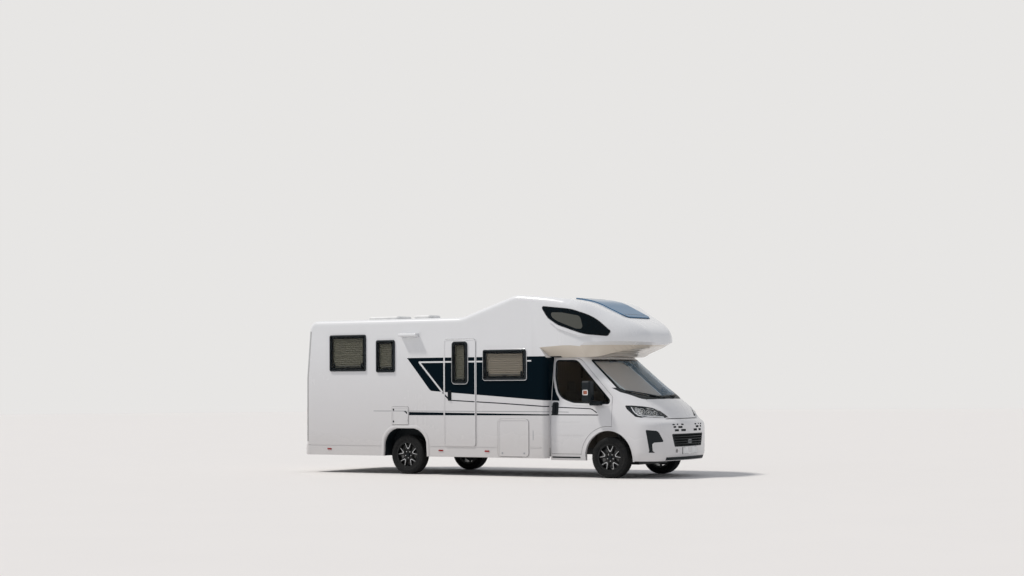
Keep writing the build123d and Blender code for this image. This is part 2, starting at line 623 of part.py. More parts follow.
# Bonnet outline in plan, with its hinge at the back edge
BONNET_PLAN = [
    (1100.0, -585.0, 0.0), (1100.0, 585.0, 0.0), (880.0, 592.0, 60.0), (528.0, 644.0, 20.0),
    (508.0, 612.0, 20.0), (552.0, 440.0, 500.0), (592.0, 170.0, 500.0), (592.0, -170.0, 500.0),
    (552.0, -440.0, 500.0), (508.0, -612.0, 20.0), (528.0, -644.0, 20.0), (880.0, -592.0, 60.0),
]
BONNET_Z = 995.0
bonnet_face = outline(BONNET_PLAN)
bonnet_gap_face = offset(bonnet_face, amount=SHUT_GAP, kind=Kind.INTERSECTION)
bonnet_cut = along_z(bonnet_gap_face, BONNET_Z - SHUT_GAP, 1420)
bonnet = (cab_outer - cab_solid(CAB_PANEL, 42.0)) & along_z(bonnet_face, BONNET_Z, 1420)
# The bonnet leaves room for each lamp and what is below it
LAMP_TIP = 250.0
lamp_keep = slanted(HEADLAMP, HEAD_AT, 420.0)
lamp_keep += slanted([(-300.0, 900.0, 0.0), (-300.0, 1060.0, 0.0), (LAMP_TIP, 1020.0, 0.0), (LAMP_TIP, 900.0, 0.0)],
                     HEAD_AT, 420.0)
lamp_keep &= block(180, 1200, -1200, -150, 200, 1300)
lamp_clear = slanted([(-480.0, 900.0, 0.0), (-480.0, 1216.0 + SHUT_GAP, 0.0), (-352.0, 1216.0 + SHUT_GAP, 60.0),
                      (-161.0, 1201.0 + SHUT_GAP, 300.0), (17.0, 1170.0 + SHUT_GAP, 200.0),
                      (132.0 + SHUT_GAP, 1105.0 + SHUT_GAP, 60.0), (LAMP_TIP + SHUT_GAP, 1022.0, 8.0),
                      (LAMP_TIP + SHUT_GAP, 900.0, 0.0)], HEAD_AT, 426.0)
lamp_clear &= block(180, 1200, -1200, -150, 200, 1300)
bonnet_cut = bonnet_cut - lamp_keep - mirrored(lamp_keep)
bonnet = bonnet - lamp_clear - mirrored(lamp_clear)

head_cut = slanted(HEADLAMP, HEAD_AT, 420.0)
air_cut = slanted(AIR_PANEL, AIR_AT, 360.0)
front_only = block(180, 1200, -1200, -150, 200, 1300)
headlamp = (cab_outer - cab_solid(38.0, 38.0)) & head_cut & front_only
air_panel = (cab_outer - cab_solid(24.0, 24.0)) & air_cut & front_only

# Bumper and wings share the front shell below the bonnet
BUMPER_SIDE = [
    (300.0, 200.0, 0.0), (300.0, 720.0, 0.0), (500.0, 830.0, 60.0), (640.0, 966.0, 60.0), (720.0, 989.0, 0.0),
    (1200.0, 989.0, 0.0), (1200.0, 200.0, 0.0),
]
bumper_zone = along_y(outline(BUMPER_SIDE), -1200, 1200)
wing_zone = along_y(outline([
    (-700.0, 200.0, 0.0), (-700.0, 1130.0, 0.0), (-120.0, 1130.0, 0.0), (60.0, 1330.0, 0.0), (240.0, 1420.0, 100.0),
    (700.0, 1420.0, 0.0), (1200.0, 1100.0, 0.0), (1200.0, 200.0, 0.0),
]), -1200, 1200)
front_arch = along_y(Pos(*ARCH_CENTRE) * Circle(FRONT_ARCH_R), -1200, 1200)
arch_box = along_y(panel(ARCH_CENTRE[0] - FRONT_ARCH_R, ARCH_CENTRE[0] + FRONT_ARCH_R, 0, HUB_Z + 40, 4), -1200, 1200)
front_cuts = [front_arch, arch_box]

GRILLE = [(-572.0, 738.0, 20.0), (572.0, 738.0, 20.0), (495.0, 522.0, 30.0), (-495.0, 522.0, 30.0)]
grille_face = outline(GRILLE)
grille_cut = along_x(grille_face, 500, 1100)
# Small openings above the grille: Y, Z, width and height of each
PORTS = [
    (505.0, 893.0, 66.0, 22.0), (392.0, 896.0, 46.0, 20.0), (244.0, 892.0, 78.0, 24.0), (480.0, 852.0, 74.0, 30.0),
    (316.0, 848.0, 132.0, 34.0), (428.0, 796.0, 118.0, 36.0), (220.0, 796.0, 150.0, 38.0),
]
front_shell = cab_shell
for cut in front_cuts:
    front_shell -= cut
front_shell = front_shell - door_cut - mirrored(door_cut) - screen_cut - bonnet_cut
front_shell = front_shell - head_cut - mirrored(head_cut)
bumper = (front_shell & bumper_zone) - grille_cut - air_cut - mirrored(air_cut)
for y, z, width, height in PORTS:
    for sign in (-1, 1):
        bumper -= along_x(Pos(sign * y, z) * Rectangle(width, height), 700, 1100)
upper_shell = front_shell - bumper_zone
cowl_zone = along_x(outline(COWL), 0, 700)
cowl = upper_shell & cowl_zone
upper_shell = upper_shell - cowl_zone
node("cowl", cowl)
wings = upper_shell & wing_zone
cab_frame = upper_shell - wing_zone
grille_frame = (cab_outer - cab_solid(30.0, 30.0)) & grille_cut
GRILLE_BARS = 5
slots = []
for k in range(GRILLE_BARS):
    z = 545 + k * 41.0
    slots.append(along_x(Pos(0, z) * RectangleRounded(2 * (470 + k * 13.0), 24.0, 10.0), 500, 1100))
for cut in slots:
    grille_frame -= cut
node("front_grilles", grille_frame, both(air_panel))
node("front_bumper", bumper)
node("front_wings", wings)
node("cab_frame", cab_frame)
node("windscreen", windscreen)
node("bonnet", bonnet)
node("headlamps", both(headlamp))
node("cab_door_right", cab_door)
node("cab_door_left", mirrored(cab_door))
node("cab_door_glass_right", cab_door_glass)
node("cab_door_glass_left", mirrored(cab_door_glass))

# Wipers lie on the glass: two bars seen from the front, Y and Z of both ends
WIPERS = [(-856.0, 1462.0, -250.0, 1362.0), (-200.0, 1362.0, 560.0, 1376.0)]
WIPER_W = 24.0
wiper_skin = cab_solid(-20.0, -20.0) - cab_outer
wipers = []
for y0, z0, y1, z1 in WIPERS:
    length = math.hypot(y1 - y0, z1 - z0)
    tilt = math.degrees(math.atan2(z1 - z0, y1 - y0))
    bar = Pos((y0 + y1) / 2, (z0 + z1) / 2) * Rot(0, 0, tilt) * RectangleRounded(length, WIPER_W, 8.0)
    wipers.append(wiper_skin & along_x(bar, -100, 800))
node("wipers", wipers)

# Door mirrors: a head on an arm that reaches the door
MIRROR_HEAD = (-365.0, -215.0, 1120.0, 1285.0, 1268.0, 1630.0)
MIRROR_ARM = (-300.0, -130.0, 930.0, 1150.0, 1216.0, 1290.0)
d0, d1, y0, y1, z0, z1 = MIRROR_HEAD
mirror_head = fillet(block(d0, d1, -y1, -y0, z0, z1).edges().filter_by(Axis.X), 45.0)
mirror_head = chamfer(mirror_head.faces().sort_by(Axis.X)[-1].edges(), 30.0)
d0, d1, y0, y1, z0, z1 = MIRROR_ARM
mirror_arm = fillet(block(d0, d1, -y1, -y0, z0, z1).edges().filter_by(Axis.Y), 20.0)
mirror_right = (mirror_head + mirror_arm) - cab_outer
node("mirror_right", mirror_right)
node("mirror_left", mirrored(mirror_right))

# Frame: two rails with cross members
RAIL_IN = 380.0
RAIL_OUT = 440.0
RAIL_LOW = 395.0
RAIL_REAR = REAR_RETURN
RAIL_FRONT = 700.0
CROSS_MEMBERS = [-6080.0, -4760.0, -3360.0, -2000.0, -900.0, -300.0]
CROSS_W = 80.0
frame = []
for sign in (-1, 1):
    y0, y1 = sorted((sign * RAIL_IN, sign * RAIL_OUT))
    frame.append(block(RAIL_REAR, RAIL_FRONT, y0, y1, RAIL_LOW, FLOOR_Z))
chassis = frame[0] + frame[1]
for d in CROSS_MEMBERS:
    chassis += block(d - CROSS_W / 2, d + CROSS_W / 2, -RAIL_IN, RAIL_IN, RAIL_LOW + 15, FLOOR_Z - 10)
chassis += block(RAIL_FRONT, RAIL_FRONT + 60, -560, 560, RAIL_LOW + 25, FLOOR_Z)

# Towing points: pads under both rails with two bolt holes each from below,
# and a tow eye socket that reaches a round hole in the bumper
CARRIER_AT = -5960.0
CARRIER_SPACING = 160.0
CARRIER_HOLE_R = 6.5
CARRIER_DEPTH = 60.0
CARRIER_PAD = 240.0
RAIL_MID = (RAIL_IN + RAIL_OUT) / 2
pads = []
for sign in (-1, 1):
    y0, y1 = sorted((sign * RAIL_IN, sign * RAIL_OUT))
    pad = block(CARRIER_AT - CARRIER_PAD / 2, CARRIER_AT + CARRIER_PAD / 2, y0, y1, RAIL_LOW - CARRIER_DEPTH, RAIL_LOW)
    for half in (-1, 1):
        d = CARRIER_AT + half * CARRIER_SPACING / 2
        hole = Pos(fx(d), sign * RAIL_MID, RAIL_LOW - CARRIER_DEPTH / 2) * Cylinder(CARRIER_HOLE_R, CARRIER_DEPTH)
        pad -= hole
    pads.append(pad)
TOW_Y = -430.0
TOW_Z = 455.0
TOW_R = 8.0
TOW_DEPTH = 55.0
TOW_BOSS_R = 22.0
TOW_TIP = 915.0
tow_boss = Pos(fx((RAIL_FRONT + 60 + TOW_TIP) / 2), TOW_Y, TOW_Z) * Rot(0, 90, 0) * Cylinder(
    TOW_BOSS_R, TOW_TIP - RAIL_FRONT - 60)
tow_boss -= Pos(fx(TOW_TIP - TOW_DEPTH / 2), TOW_Y, TOW_Z) * Rot(0, 90, 0) * Cylinder(TOW_R, TOW_DEPTH)
bumper_hole = Pos(fx(900), TOW_Y, TOW_Z) * Rot(0, 90, 0) * Cylinder(TOW_BOSS_R + 12, 400)
node("front_bumper", bumper - bumper_hole)
node("chassis_frame", chassis)
node("towing_points", tow_boss, pads)

# Axles
HUB_BACK = 30.0
DISC_R = 150.0
DISC_T = 26.0
STEER_OFFSET = 75.0
AXLE_R = 42.0
y_disc_rear = TRACK_REAR / 2 + HUB_BACK - RUN_GAP
rear_axle = rod_y(-WHEELBASE, -y_disc_rear + 10, y_disc_rear - 10, HUB_Z, AXLE_R)
for sign in (-1, 1):
    y0, y1 = sorted((sign * (y_disc_rear - DISC_T), sign * y_disc_rear))
    rear_axle += rod_y(-WHEELBASE, y0, y1, HUB_Z, DISC_R)
    y0, y1 = sorted((sign * RAIL_IN, sign * RAIL_OUT))
    arm = outline([(-WHEELBASE - 30, HUB_Z, 10.0), (-WHEELBASE + 30, HUB_Z, 10.0),
                   (-WHEELBASE + 80, RAIL_LOW, 0.0), (-WHEELBASE - 80, RAIL_LOW, 0.0)])
    rear_axle += along_y(arm, y0, y1)
node("rear_axle", rear_axle)

STEER_Y = TRACK_FRONT / 2 - STEER_OFFSET
subframe = block(-260, 300, -520, 520, 215, 265)
for sign in (-1, 1):
    y0, y1 = sorted((sign * 500, sign * (STEER_Y - 40)))
    subframe += block(-60, 60, y0, y1, 218, 248)
    y0, y1 = sorted((sign * RAIL_IN, sign * RAIL_OUT))
    subframe += block(-240, -160, y0, y1, 265, RAIL_LOW)
    subframe += block(200, 280, y0, y1, 265, RAIL_LOW)
struts = []
for sign in (-1, 1):
    tower = Pos(fx(0), sign * 650, 677) * Cylinder(48, 274)
    foot = block(-50, 50, *sorted((sign * 500, sign * 660)), 540, 600)
    link = block(-50, 50, *sorted((sign * RAIL_OUT, sign * 520)), 440, 600)
    struts.append(tower + foot + link)
node("front_subframe", subframe, struts)


def knuckle(sign):
    y_disc = TRACK_FRONT / 2 + HUB_BACK - RUN_GAP
    y0, y1 = sorted((sign * (y_disc - DISC_T), sign * y_disc))
    part = rod_y(0, y0, y1, HUB_Z, DISC_R)
    y0, y1 = sorted((sign * (STEER_Y - 20), sign * y_disc))
    part += rod_y(0, y0, y1, HUB_Z, 55)
    y0, y1 = sorted((sign * (STEER_Y - 25), sign * (STEER_Y + 25)))
    part += block(-40, 40, y0, y1, HUB_Z - 90, HUB_Z + 150)
    return part


node("knuckle_right", knuckle(-1))
node("knuckle_left", knuckle(1))

# Tyre and rim about their own axis, outer side up
TYRE_SEAT = 216.0
LIP_T = 8.0
BARREL_R = 205.0
TYRE_CLEAR = 3.0
WALL_R = 284.0
TREAD_W = 168.0
tyre_half = [
    (TYRE_SEAT, 0.0), (TYRE_SEAT, RIM_W / 2 - LIP_T), (RIM_D / 2 + TYRE_CLEAR, RIM_W / 2 - LIP_T),
    (WALL_R, TYRE_W / 2), (TYRE_D / 2, TREAD_W / 2), (TYRE_D / 2, 0.0),
]
tyre_section = rounded(tyre_half, 0.0)
tyre_section = tyre_section + mirror(tyre_section, about=Plane.XZ)
rim_corners = [
    (BARREL_R, -RIM_W / 2), (RIM_D / 2, -RIM_W / 2), (RIM_D / 2, LIP_T - RIM_W / 2),
    (TYRE_SEAT, LIP_T - RIM_W / 2), (TYRE_SEAT, RIM_W / 2 - LIP_T), (RIM_D / 2, RIM_W / 2 - LIP_T),
    (RIM_D / 2, RIM_W / 2), (BARREL_R, RIM_W / 2),
]


# Revolves an (r, axial) face about Z
def turned(face):
    return revolve(Plane.XZ * face, Axis.Z)


tyre_shape = turned(tyre_section)
rim_shape = turned(rounded(rim_corners, 0.0))
HUB_R = 92.0
SPOKE_FACE = 78.0
rim_shape += Pos(0, 0, (HUB_BACK + SPOKE_FACE - 12) / 2) * Cylinder(HUB_R, SPOKE_FACE - 12 - HUB_BACK)
SPOKE_V = [
    (60.0, -34.0, 0.0), (60.0, 34.0, 0.0), (209.0, 72.0, 0.0), (214.0, 46.0, 0.0), (118.0, 8.0, 7.0),
    (118.0, -8.0, 7.0), (214.0, -46.0, 0.0), (209.0, -72.0, 0.0),
]
spokes = []
for k in range(SPOKE_PAIRS):
    vee = extrude(outline(SPOKE_V), SPOKE_FACE - 46)
    spokes.append(Rot(0, 0, 90 + k * 360 / SPOKE_PAIRS) * Pos(0, 0, 46) * vee)
reach = Pos(0, 0, 50) * Cylinder(211.0, 120)
for vee in spokes:
    rim_shape += vee & reach
for k in range(SPOKE_PAIRS):
    a = math.radians(90 + 36 + k * 360 / SPOKE_PAIRS)
    x, y = BOLT_CIRCLE_D / 2 * math.cos(a), BOLT_CIRCLE_D / 2 * math.sin(a)
    rim_shape -= Pos(x, y, SPOKE_FACE - 6) * Cylinder(BOLT_D / 2, 30)
rim_shape += Pos(0, 0, SPOKE_FACE - 4) * Cylinder(30, 16)

WHEELS = [
    ("front_right", 0.0, -TRACK_FRONT / 2), ("front_left", 0.0, TRACK_FRONT / 2),
    ("rear_right", -WHEELBASE, -TRACK_REAR / 2), ("rear_left", -WHEELBASE, TRACK_REAR / 2),
]
for name, d, y in WHEELS:
    turn = Rot(90, 0, 0) if y < 0 else Rot(-90, 0, 0)
    node("tyre_" + name, Pos(fx(d), y, HUB_Z) * turn * tyre_shape)
    node("rim_" + name, Pos(fx(d), y, HUB_Z) * turn * rim_shape)

# Plain blocks for the machinery
node("engine_block", block(60, 640, -360, 360, 420, 900))
node("radiator", block(780, 820, -480, 480, 510, 780))
node("fuel_tank", fillet(block(-3100, -2150, -RAIL_IN, RAIL_IN, 300, 480).edges().filter_by(Axis.X), 40.0))
node("waste_tank", fillet(block(-5900, -4900, -RAIL_IN, RAIL_IN, 330, 480).edges().filter_by(Axis.X), 30.0))
pipe = Pos(fx(-1500), 560, 360) * Rot(0, 90, 0) * Cylinder(28, 1700)
muffler = Pos(fx(-1750), 560, 360) * Rot(0, 90, 0) * Cylinder(80, 620)
hangers = [block(d - 15, d + 15, 545, 575, 380, FLOOR_Z) for d in (-1300.0, -2250.0)]
node("exhaust", pipe + muffler + hangers[0] + hangers[1])

# Cab floor with inner wheel arches and toe board
CAB_FLOOR_Z = FLOOR_Z
CAB_FLOOR_T = 40.0
INNER_ARCH_Y = 570.0
ARCH_TOP = 822.0
cab_floor = block(HOUSE_FRONT, -470, -940, 940, CAB_FLOOR_Z, CAB_FLOOR_Z + CAB_FLOOR_T)
cab_floor += block(-480, 30, -INNER_ARCH_Y - 15, INNER_ARCH_Y + 15, CAB_FLOOR_Z, CAB_FLOOR_Z + CAB_FLOOR_T)
for sign in (-1, 1):
    y0, y1 = sorted((sign * INNER_ARCH_Y, sign * (INNER_ARCH_Y + 15)))
    cab_floor += block(-485, 30, y0, y1, CAB_FLOOR_Z, ARCH_TOP + 15)
    y0, y1 = sorted((sign * INNER_ARCH_Y, sign * 940))
    cab_floor += block(-485, -470, y0, y1, CAB_FLOOR_Z, ARCH_TOP + 15)
    cab_floor += block(-485, 30, y0, y1, ARCH_TOP, ARCH_TOP + 15)
cab_floor += block(15, 30, -INNER_ARCH_Y - 15, INNER_ARCH_Y + 15, CAB_FLOOR_Z, 1180)
cab_floor += block(15, 30, -940, 940, ARCH_TOP, 1180)
for sign in (-1, 1):
    y0, y1 = sorted((sign * 900, sign * 934))
    cab_floor += block(HOUSE_FRONT, -485, y0, y1, SILL_Z + 20, CAB_FLOOR_Z)
for sign in (-1, 1):
    y0, y1 = sorted((sign * 430, sign * 722))
    cab_floor -= block(-70, 70, y0, y1, CAB_FLOOR_Z - 60, ARCH_TOP)
node("cab_floor", cab_floor)

dash_face = outline([
    (15.0, 880.0, 0.0), (-170.0, 880.0, 40.0), (-300.0, 1010.0, 40.0), (-325.0, 1170.0, 50.0), (-180.0, 1240.0, 60.0),
    (180.0, 1262.0, 20.0), (180.0, 1190.0, 0.0), (15.0, 1190.0, 0.0),
])
dash_body = along_y(dash_face, -900, 900) & cab_solid(CAB_PANEL + 8, CAB_PANEL + 8)
node("dashboard", dash_body)

# Steering wheel on its column, left-hand drive
WHEEL_AT = (-430.0, 430.0, 1120.0)
COLUMN_TILT = 62.0
ring = turned(Pos(186.0, 0) * RegularPolygon(15.0, 8)) + Cylinder(52.0, 30.0)
for k in range(3):
    ring += Rot(0, 0, 90 + k * 120) * Pos(110, 0, 0) * Box(140, 34, 14)
column = Pos(0, 0, -105) * Cylinder(34.0, 190.0)
steering = Pos(fx(WHEEL_AT[0]), WHEEL_AT[1], WHEEL_AT[2]) * Rot(0, -COLUMN_TILT, 0) * (ring + column)
node("steering_wheel", steering - dash_body)

# Seats: pedestal, cushion, leaning back and head rest
SEAT_Y = 430.0
SEAT_W = 480.0
seats = []
for sign in (-1, 1):
    y = sign * SEAT_Y
    base = block(-980, -640, y - 170, y + 170, CAB_FLOOR_Z + CAB_FLOOR_T, 720)
    cushion = fillet(block(-1030, -540, y - SEAT_W / 2, y + SEAT_W / 2, 720, 850).edges().filter_by(Axis.Y), 40.0)
    back = fillet(Box(110, SEAT_W, 640).edges().filter_by(Axis.Y), 40.0)
    back = Pos(fx(-1015), y, 1140) * Rot(0, -7, 0) * back
    rest = fillet(Box(80, 260, 200).edges().filter_by(Axis.Y), 35.0)
    rest = Pos(fx(-1058), y, 1530) * Rot(0, -7, 0) * rest
    stem = Pos(fx(-1054), y, 1440) * Rot(0, -7, 0) * Box(20, 120, 80)
    seats.append(base + cushion + back + rest + stem)
node("cab_seats", seats)

os.makedirs("parts", exist_ok=True)
for name, shape in NODES.items():
    export_step(shape, f"parts/{name}.step")
    print(name, len(shape.solids()), round(shape.volume / 1e6, 2))
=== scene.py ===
import json
import math

import bmesh
import bpy
from mathutils import Matrix, Vector
from mathutils.bvhtree import BVHTree

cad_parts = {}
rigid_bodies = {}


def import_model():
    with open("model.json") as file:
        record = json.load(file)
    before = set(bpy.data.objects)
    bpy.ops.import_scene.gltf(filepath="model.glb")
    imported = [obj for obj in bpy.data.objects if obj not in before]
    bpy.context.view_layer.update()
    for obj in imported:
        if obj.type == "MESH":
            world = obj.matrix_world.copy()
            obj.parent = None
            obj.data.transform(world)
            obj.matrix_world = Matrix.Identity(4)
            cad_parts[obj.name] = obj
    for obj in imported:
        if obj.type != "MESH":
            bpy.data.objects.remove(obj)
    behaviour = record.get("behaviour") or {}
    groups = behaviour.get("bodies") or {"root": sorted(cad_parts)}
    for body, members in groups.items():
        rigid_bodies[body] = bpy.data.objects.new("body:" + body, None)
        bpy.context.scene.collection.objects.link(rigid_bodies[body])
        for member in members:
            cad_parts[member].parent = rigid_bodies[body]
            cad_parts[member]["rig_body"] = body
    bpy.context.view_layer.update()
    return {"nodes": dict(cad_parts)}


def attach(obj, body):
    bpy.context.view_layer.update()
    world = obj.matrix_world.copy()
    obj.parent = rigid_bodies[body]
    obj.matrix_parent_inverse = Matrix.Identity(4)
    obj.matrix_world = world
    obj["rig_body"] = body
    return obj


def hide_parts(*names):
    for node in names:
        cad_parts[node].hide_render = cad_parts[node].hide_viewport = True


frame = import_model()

nodes = frame["nodes"]

# Stations in millimetres ahead of the front axle, widths from the middle, heights from the ground
FRONT_AXLE = 2642.5
WHEELBASE = 4035.0
HALF = 1150.0
HUB_Z = 345.0


# Place in the row frame, in metres, of a station
def station(d):
    return (d + FRONT_AXLE) / 1000.0


# Finishes
class Value:
    """One socket of a finish, with plain arithmetic."""

    def __init__(self, finish, socket):
        self.finish, self.socket = finish, socket

    def math(self, operation, *items):
        links = {i: item for i, item in enumerate(items)}
        return self.finish.node("Math", {"operation": operation}, links)

    def __add__(self, other):
        return self.math("ADD", self, other)

    def __radd__(self, other):
        return self.math("ADD", other, self)

    def __rsub__(self, other):
        return self.math("SUBTRACT", other, self)

    def __mul__(self, other):
        return self.math("MULTIPLY", self, other)

    def __rmul__(self, other):
        return self.math("MULTIPLY", other, self)

    def __lt__(self, other):
        return self.math("LESS_THAN", self, other)


class Finish:
    """A material of the motorhome: one Principled shader and the nodes that feed it."""

    def __init__(self, name, **sockets):
        self.material = bpy.data.materials.new(name)
        self.material.use_nodes = True
        self.tree = self.material.node_tree
        self.tree.nodes.clear()
        self.shader = self.tree.nodes.new("ShaderNodeBsdfPrincipled")
        self.output = self.tree.nodes.new("ShaderNodeOutputMaterial")
        self.tree.links.new(self.shader.outputs[0], self.output.inputs[0])
        self.set(**sockets)

    def put(self, socket, item):
        if isinstance(item, Value):
            self.tree.links.new(item.socket, socket)
        elif isinstance(item, tuple) and len(item) == 3 and socket.type == "RGBA":
            socket.default_value = (*item, 1.0)
        else:
            socket.default_value = item

    def node(self, kind, settings=None, links=None, out=0):
        made = self.tree.nodes.new("ShaderNode" + kind)
        for key, item in (settings or {}).items():
            if key == "stops":
                ramp = made.color_ramp
                for place, _ in item[1:-1]:
                    ramp.elements.new(place)
                for element, (place, colour) in zip(ramp.elements, item):
                    element.position, element.color = place, (*colour, 1.0)
            else:
                setattr(made, key, item)
        for key, item in (links or {}).items():
            self.put(made.inputs[key], item)
        return Value(self, made.outputs[out])

    def set(self, **sockets):
        for key, item in sockets.items():
            self.put(self.shader.inputs[key.replace("_", " ")], item)
        return self

    def place(self, scale=(1.0, 1.0, 1.0)):
        point = self.node("TexCoord", out="Object")
        return self.node("VectorMath", {"operation": "MULTIPLY"}, {0: point, 1: scale})

    def axis(self, letter):
        return self.node("SeparateXYZ", {}, {0: self.place()}, out=letter)

    # How far a face looks up, from -1 to 1
    def facing_up(self):
        return self.node("SeparateXYZ", {}, {0: self.node("NewGeometry", out="Normal")}, out="Z")

    def wave(self, letter, scale, distortion):
        links = {"Vector": self.place(), "Scale": scale, "Distortion": distortion}
        return self.node("TexWave", {"bands_direction": letter}, links)

    def noise(self, scale, stretch=(1.0, 1.0, 1.0), detail=3.0, rough=0.55):
        links = {"Vector": self.place(stretch), "Scale": scale, "Detail": detail, "Roughness": rough}
        return self.node("TexNoise", {}, links, out=0)

    def ramp(self, value, *stops):
        grey = [(place, (shade,) * 3) for place, shade in stops]
        return self.node("ValToRGB", {"stops": grey}, {0: value})

    def blend(self, mask, low, high):
        return self.node("Mix", {"data_type": "RGBA"}, {0: mask, 6: low, 7: high}, out=2)

    def tone(self, mask, low, high):
        links = {0: mask, 1: 0.0, 2: 1.0, 3: low, 4: high}
        return self.node("MapRange", {}, links)

    def bump(self, height, strength, distance=0.001):
        links = {"Height": height, "Strength": strength, "Distance": distance}
        return self.set(Normal=self.node("Bump", {}, links))


# How much of its colour paint keeps at the sills: painted shade that darkens the walls towards the bottom
SILL_SHADE = (0.80, 0.775, 0.765)
# Height under which the down-facing underside of the alcove takes a painted warm shade
UNDERSIDE_TOP = 2.232
# Colours of what lies on the finishes
ROAD_FILM = (0.50, 0.46, 0.40)
DUST = (0.42, 0.39, 0.34)
RUST = (0.19, 0.075, 0.03)
TYRE_DUST = (0.30, 0.26, 0.21)


def times(colour, factor):
    return tuple(c * factor for c in colour)


# Gloss paint: cloudy tone, painted shade darkening it towards the sills, road film low down, faint rain runs,
# orange peel
def paint(name, colour, film, coat, dirt, shine=0.5, under=None, sill_shade=SILL_SHADE):
    f = Finish(name, Coat_Roughness=0.06, Specular_IOR_Level=shine)
    cloud = f.noise(1.3, detail=4.0)
    runs = f.ramp(f.noise(7.0, (1.0, 1.0, 0.05), 5.0), (0.50, 0.0), (0.80, 1.0))
    low = f.ramp(f.axis("Z") + f.noise(2.2) * 0.5, (0.45, 1.0), (1.05, 0.0))
    specks = f.ramp(f.noise(90.0, detail=1.0), (0.66, 0.0), (0.74, 1.0))
    mask = low * (0.35 + specks * 0.25) * dirt + runs * (0.05 * dirt)
    # Painted shade: below 2.3 metres the colour darkens, reaching its shaded copy at 0.6 metres
    down = f.ramp(f.axis("Z") * 0.4, (0.24, 1.0), (0.92, 0.0))
    at_sill = tuple(c * d for c, d in zip(colour, sill_shade))
    shade = f.blend(down, *[f.blend(cloud, tone, times(tone, 0.965)) for tone in (colour, at_sill)])
    # Painted shade: faces that look down, under that height, take a darker, warmer colour
    if under:
        below = f.ramp(0.0 - f.facing_up(), (0.26, 0.0), (0.36, 1.0)) * (f.axis("Z") < UNDERSIDE_TOP)
        shade = f.blend(below, shade, under)
    f.set(Base_Color=f.blend(mask, shade, film), Roughness=f.tone(mask + cloud * 0.2, 0.24, 0.5))
    f.set(Coat_Weight=coat * (1 - mask))
    return f.bump(f.noise(420.0, detail=1.0), 0.03, 0.0005).material


# Moulded plastic: cloudy tone, fine grain, dust on top
def plastic(name, colour, rough, grain=900.0, dust=0.12, shine=0.5):
    f = Finish(name, Specular_IOR_Level=shine)
    cloud = f.noise(6.0, detail=5.0)
    mask = f.ramp(f.facing_up() * 0.6 + cloud * 0.5, (0.55, 0.0), (1.1, 1.0)) * dust
    pale = tuple(min(1.0, c * 1.25 + 0.004) for c in colour)
    shade = f.blend(cloud, times(colour, 0.85), pale)
    f.set(Base_Color=f.blend(mask, shade, DUST), Roughness=f.tone(cloud, rough, min(1.0, rough + 0.15)))
    return f.bump(f.noise(grain, detail=2.0), 0.22, 0.0004).material


# Painted or bare steel with scratches, scale and spots of rust
def steel(name, colour, rust, metallic, rough):
    f = Finish(name)
    cloud = f.noise(7.0, detail=6.0)
    spots = f.ramp(f.noise(24.0, detail=6.0, rough=0.7), (0.58, 0.0), (0.68, 1.0)) * rust
    scratch = f.ramp(f.noise(60.0, (1.0, 12.0, 1.0), 3.0), (0.62, 0.0), (0.7, 1.0))
    shade = f.blend(cloud, times(colour, 0.8), tuple(min(1.0, c * 1.2) for c in colour))
    f.set(Base_Color=f.blend(spots, shade, RUST), Metallic=metallic * (1 - spots))
    f.set(Roughness=f.tone(spots + scratch * 0.2, rough, 0.85))
    return f.bump(cloud + spots, 0.3, 0.0008).material


# Tinted pane: a gloss skin mixed with a see-through tint by the angle of view
def pane(name, tint, skin, solid, rough=0.02, shine=0.5, gloss=1.5):
    f = Finish(name, Specular_IOR_Level=shine)
    smear = f.noise(3.0, (1.0, 1.0, 0.5), 4.0)
    dust = f.ramp(f.noise(40.0, detail=5.0), (0.55, 0.0), (0.8, 1.0)) * 0.05
    f.set(Base_Color=f.blend(smear, skin, times(skin, 1.25)), Roughness=f.tone(smear, rough, rough + 0.05))
    clear = f.node("BsdfTransparent", {}, {0: tint})
    outside = 1 - f.node("NewGeometry", out="Backfacing")
    edge = f.node("Fresnel", {}, {"IOR": gloss})
    glossy = (edge * (1 - solid) + dust) * outside
    share = f.node("Math", {"operation": "ADD", "use_clamp": True}, {0: glossy, 1: solid})
    mix = f.node("MixShader", {}, {0: share, 1: clear, 2: Value(f, f.shader.outputs[0])})
    f.tree.links.new(mix.socket, f.output.inputs[0])
    return f.material


# Woven cloth: two crossing threads, nap and shading
def cloth(name, colour, thread, second):
    f = Finish(name, Sheen_Weight=0.4, Sheen_Roughness=0.5)
    over, under = [f.wave(letter, thread, 1.5) for letter in "XZ"]
    cloud = f.noise(14.0, detail=5.0)
    weave = over * under
    f.set(Base_Color=f.blend(weave * 0.35 + cloud * 0.5, colour, second), Roughness=f.tone(cloud, 0.75, 0.95))
    return f.bump(weave + f.noise(300.0) * 0.5, 0.5, 0.0006).material


# Blind drawn behind the glossy alcove window
def blind_behind_glass(name, colour, second):
    f = Finish(name, Coat_Weight=0.7, Coat_Roughness=0.03)
    # The lighter and darker rows are painted shading of the pleats
    rows = f.wave("Z", 14.0, 0.2)
    cloud = f.noise(8.0, detail=4.0)
    f.set(Base_Color=f.blend(rows * 0.5 + cloud * 0.4, colour, second), Roughness=f.tone(cloud, 0.45, 0.6))
    return f.bump(rows, 0.1, 0.0005).material


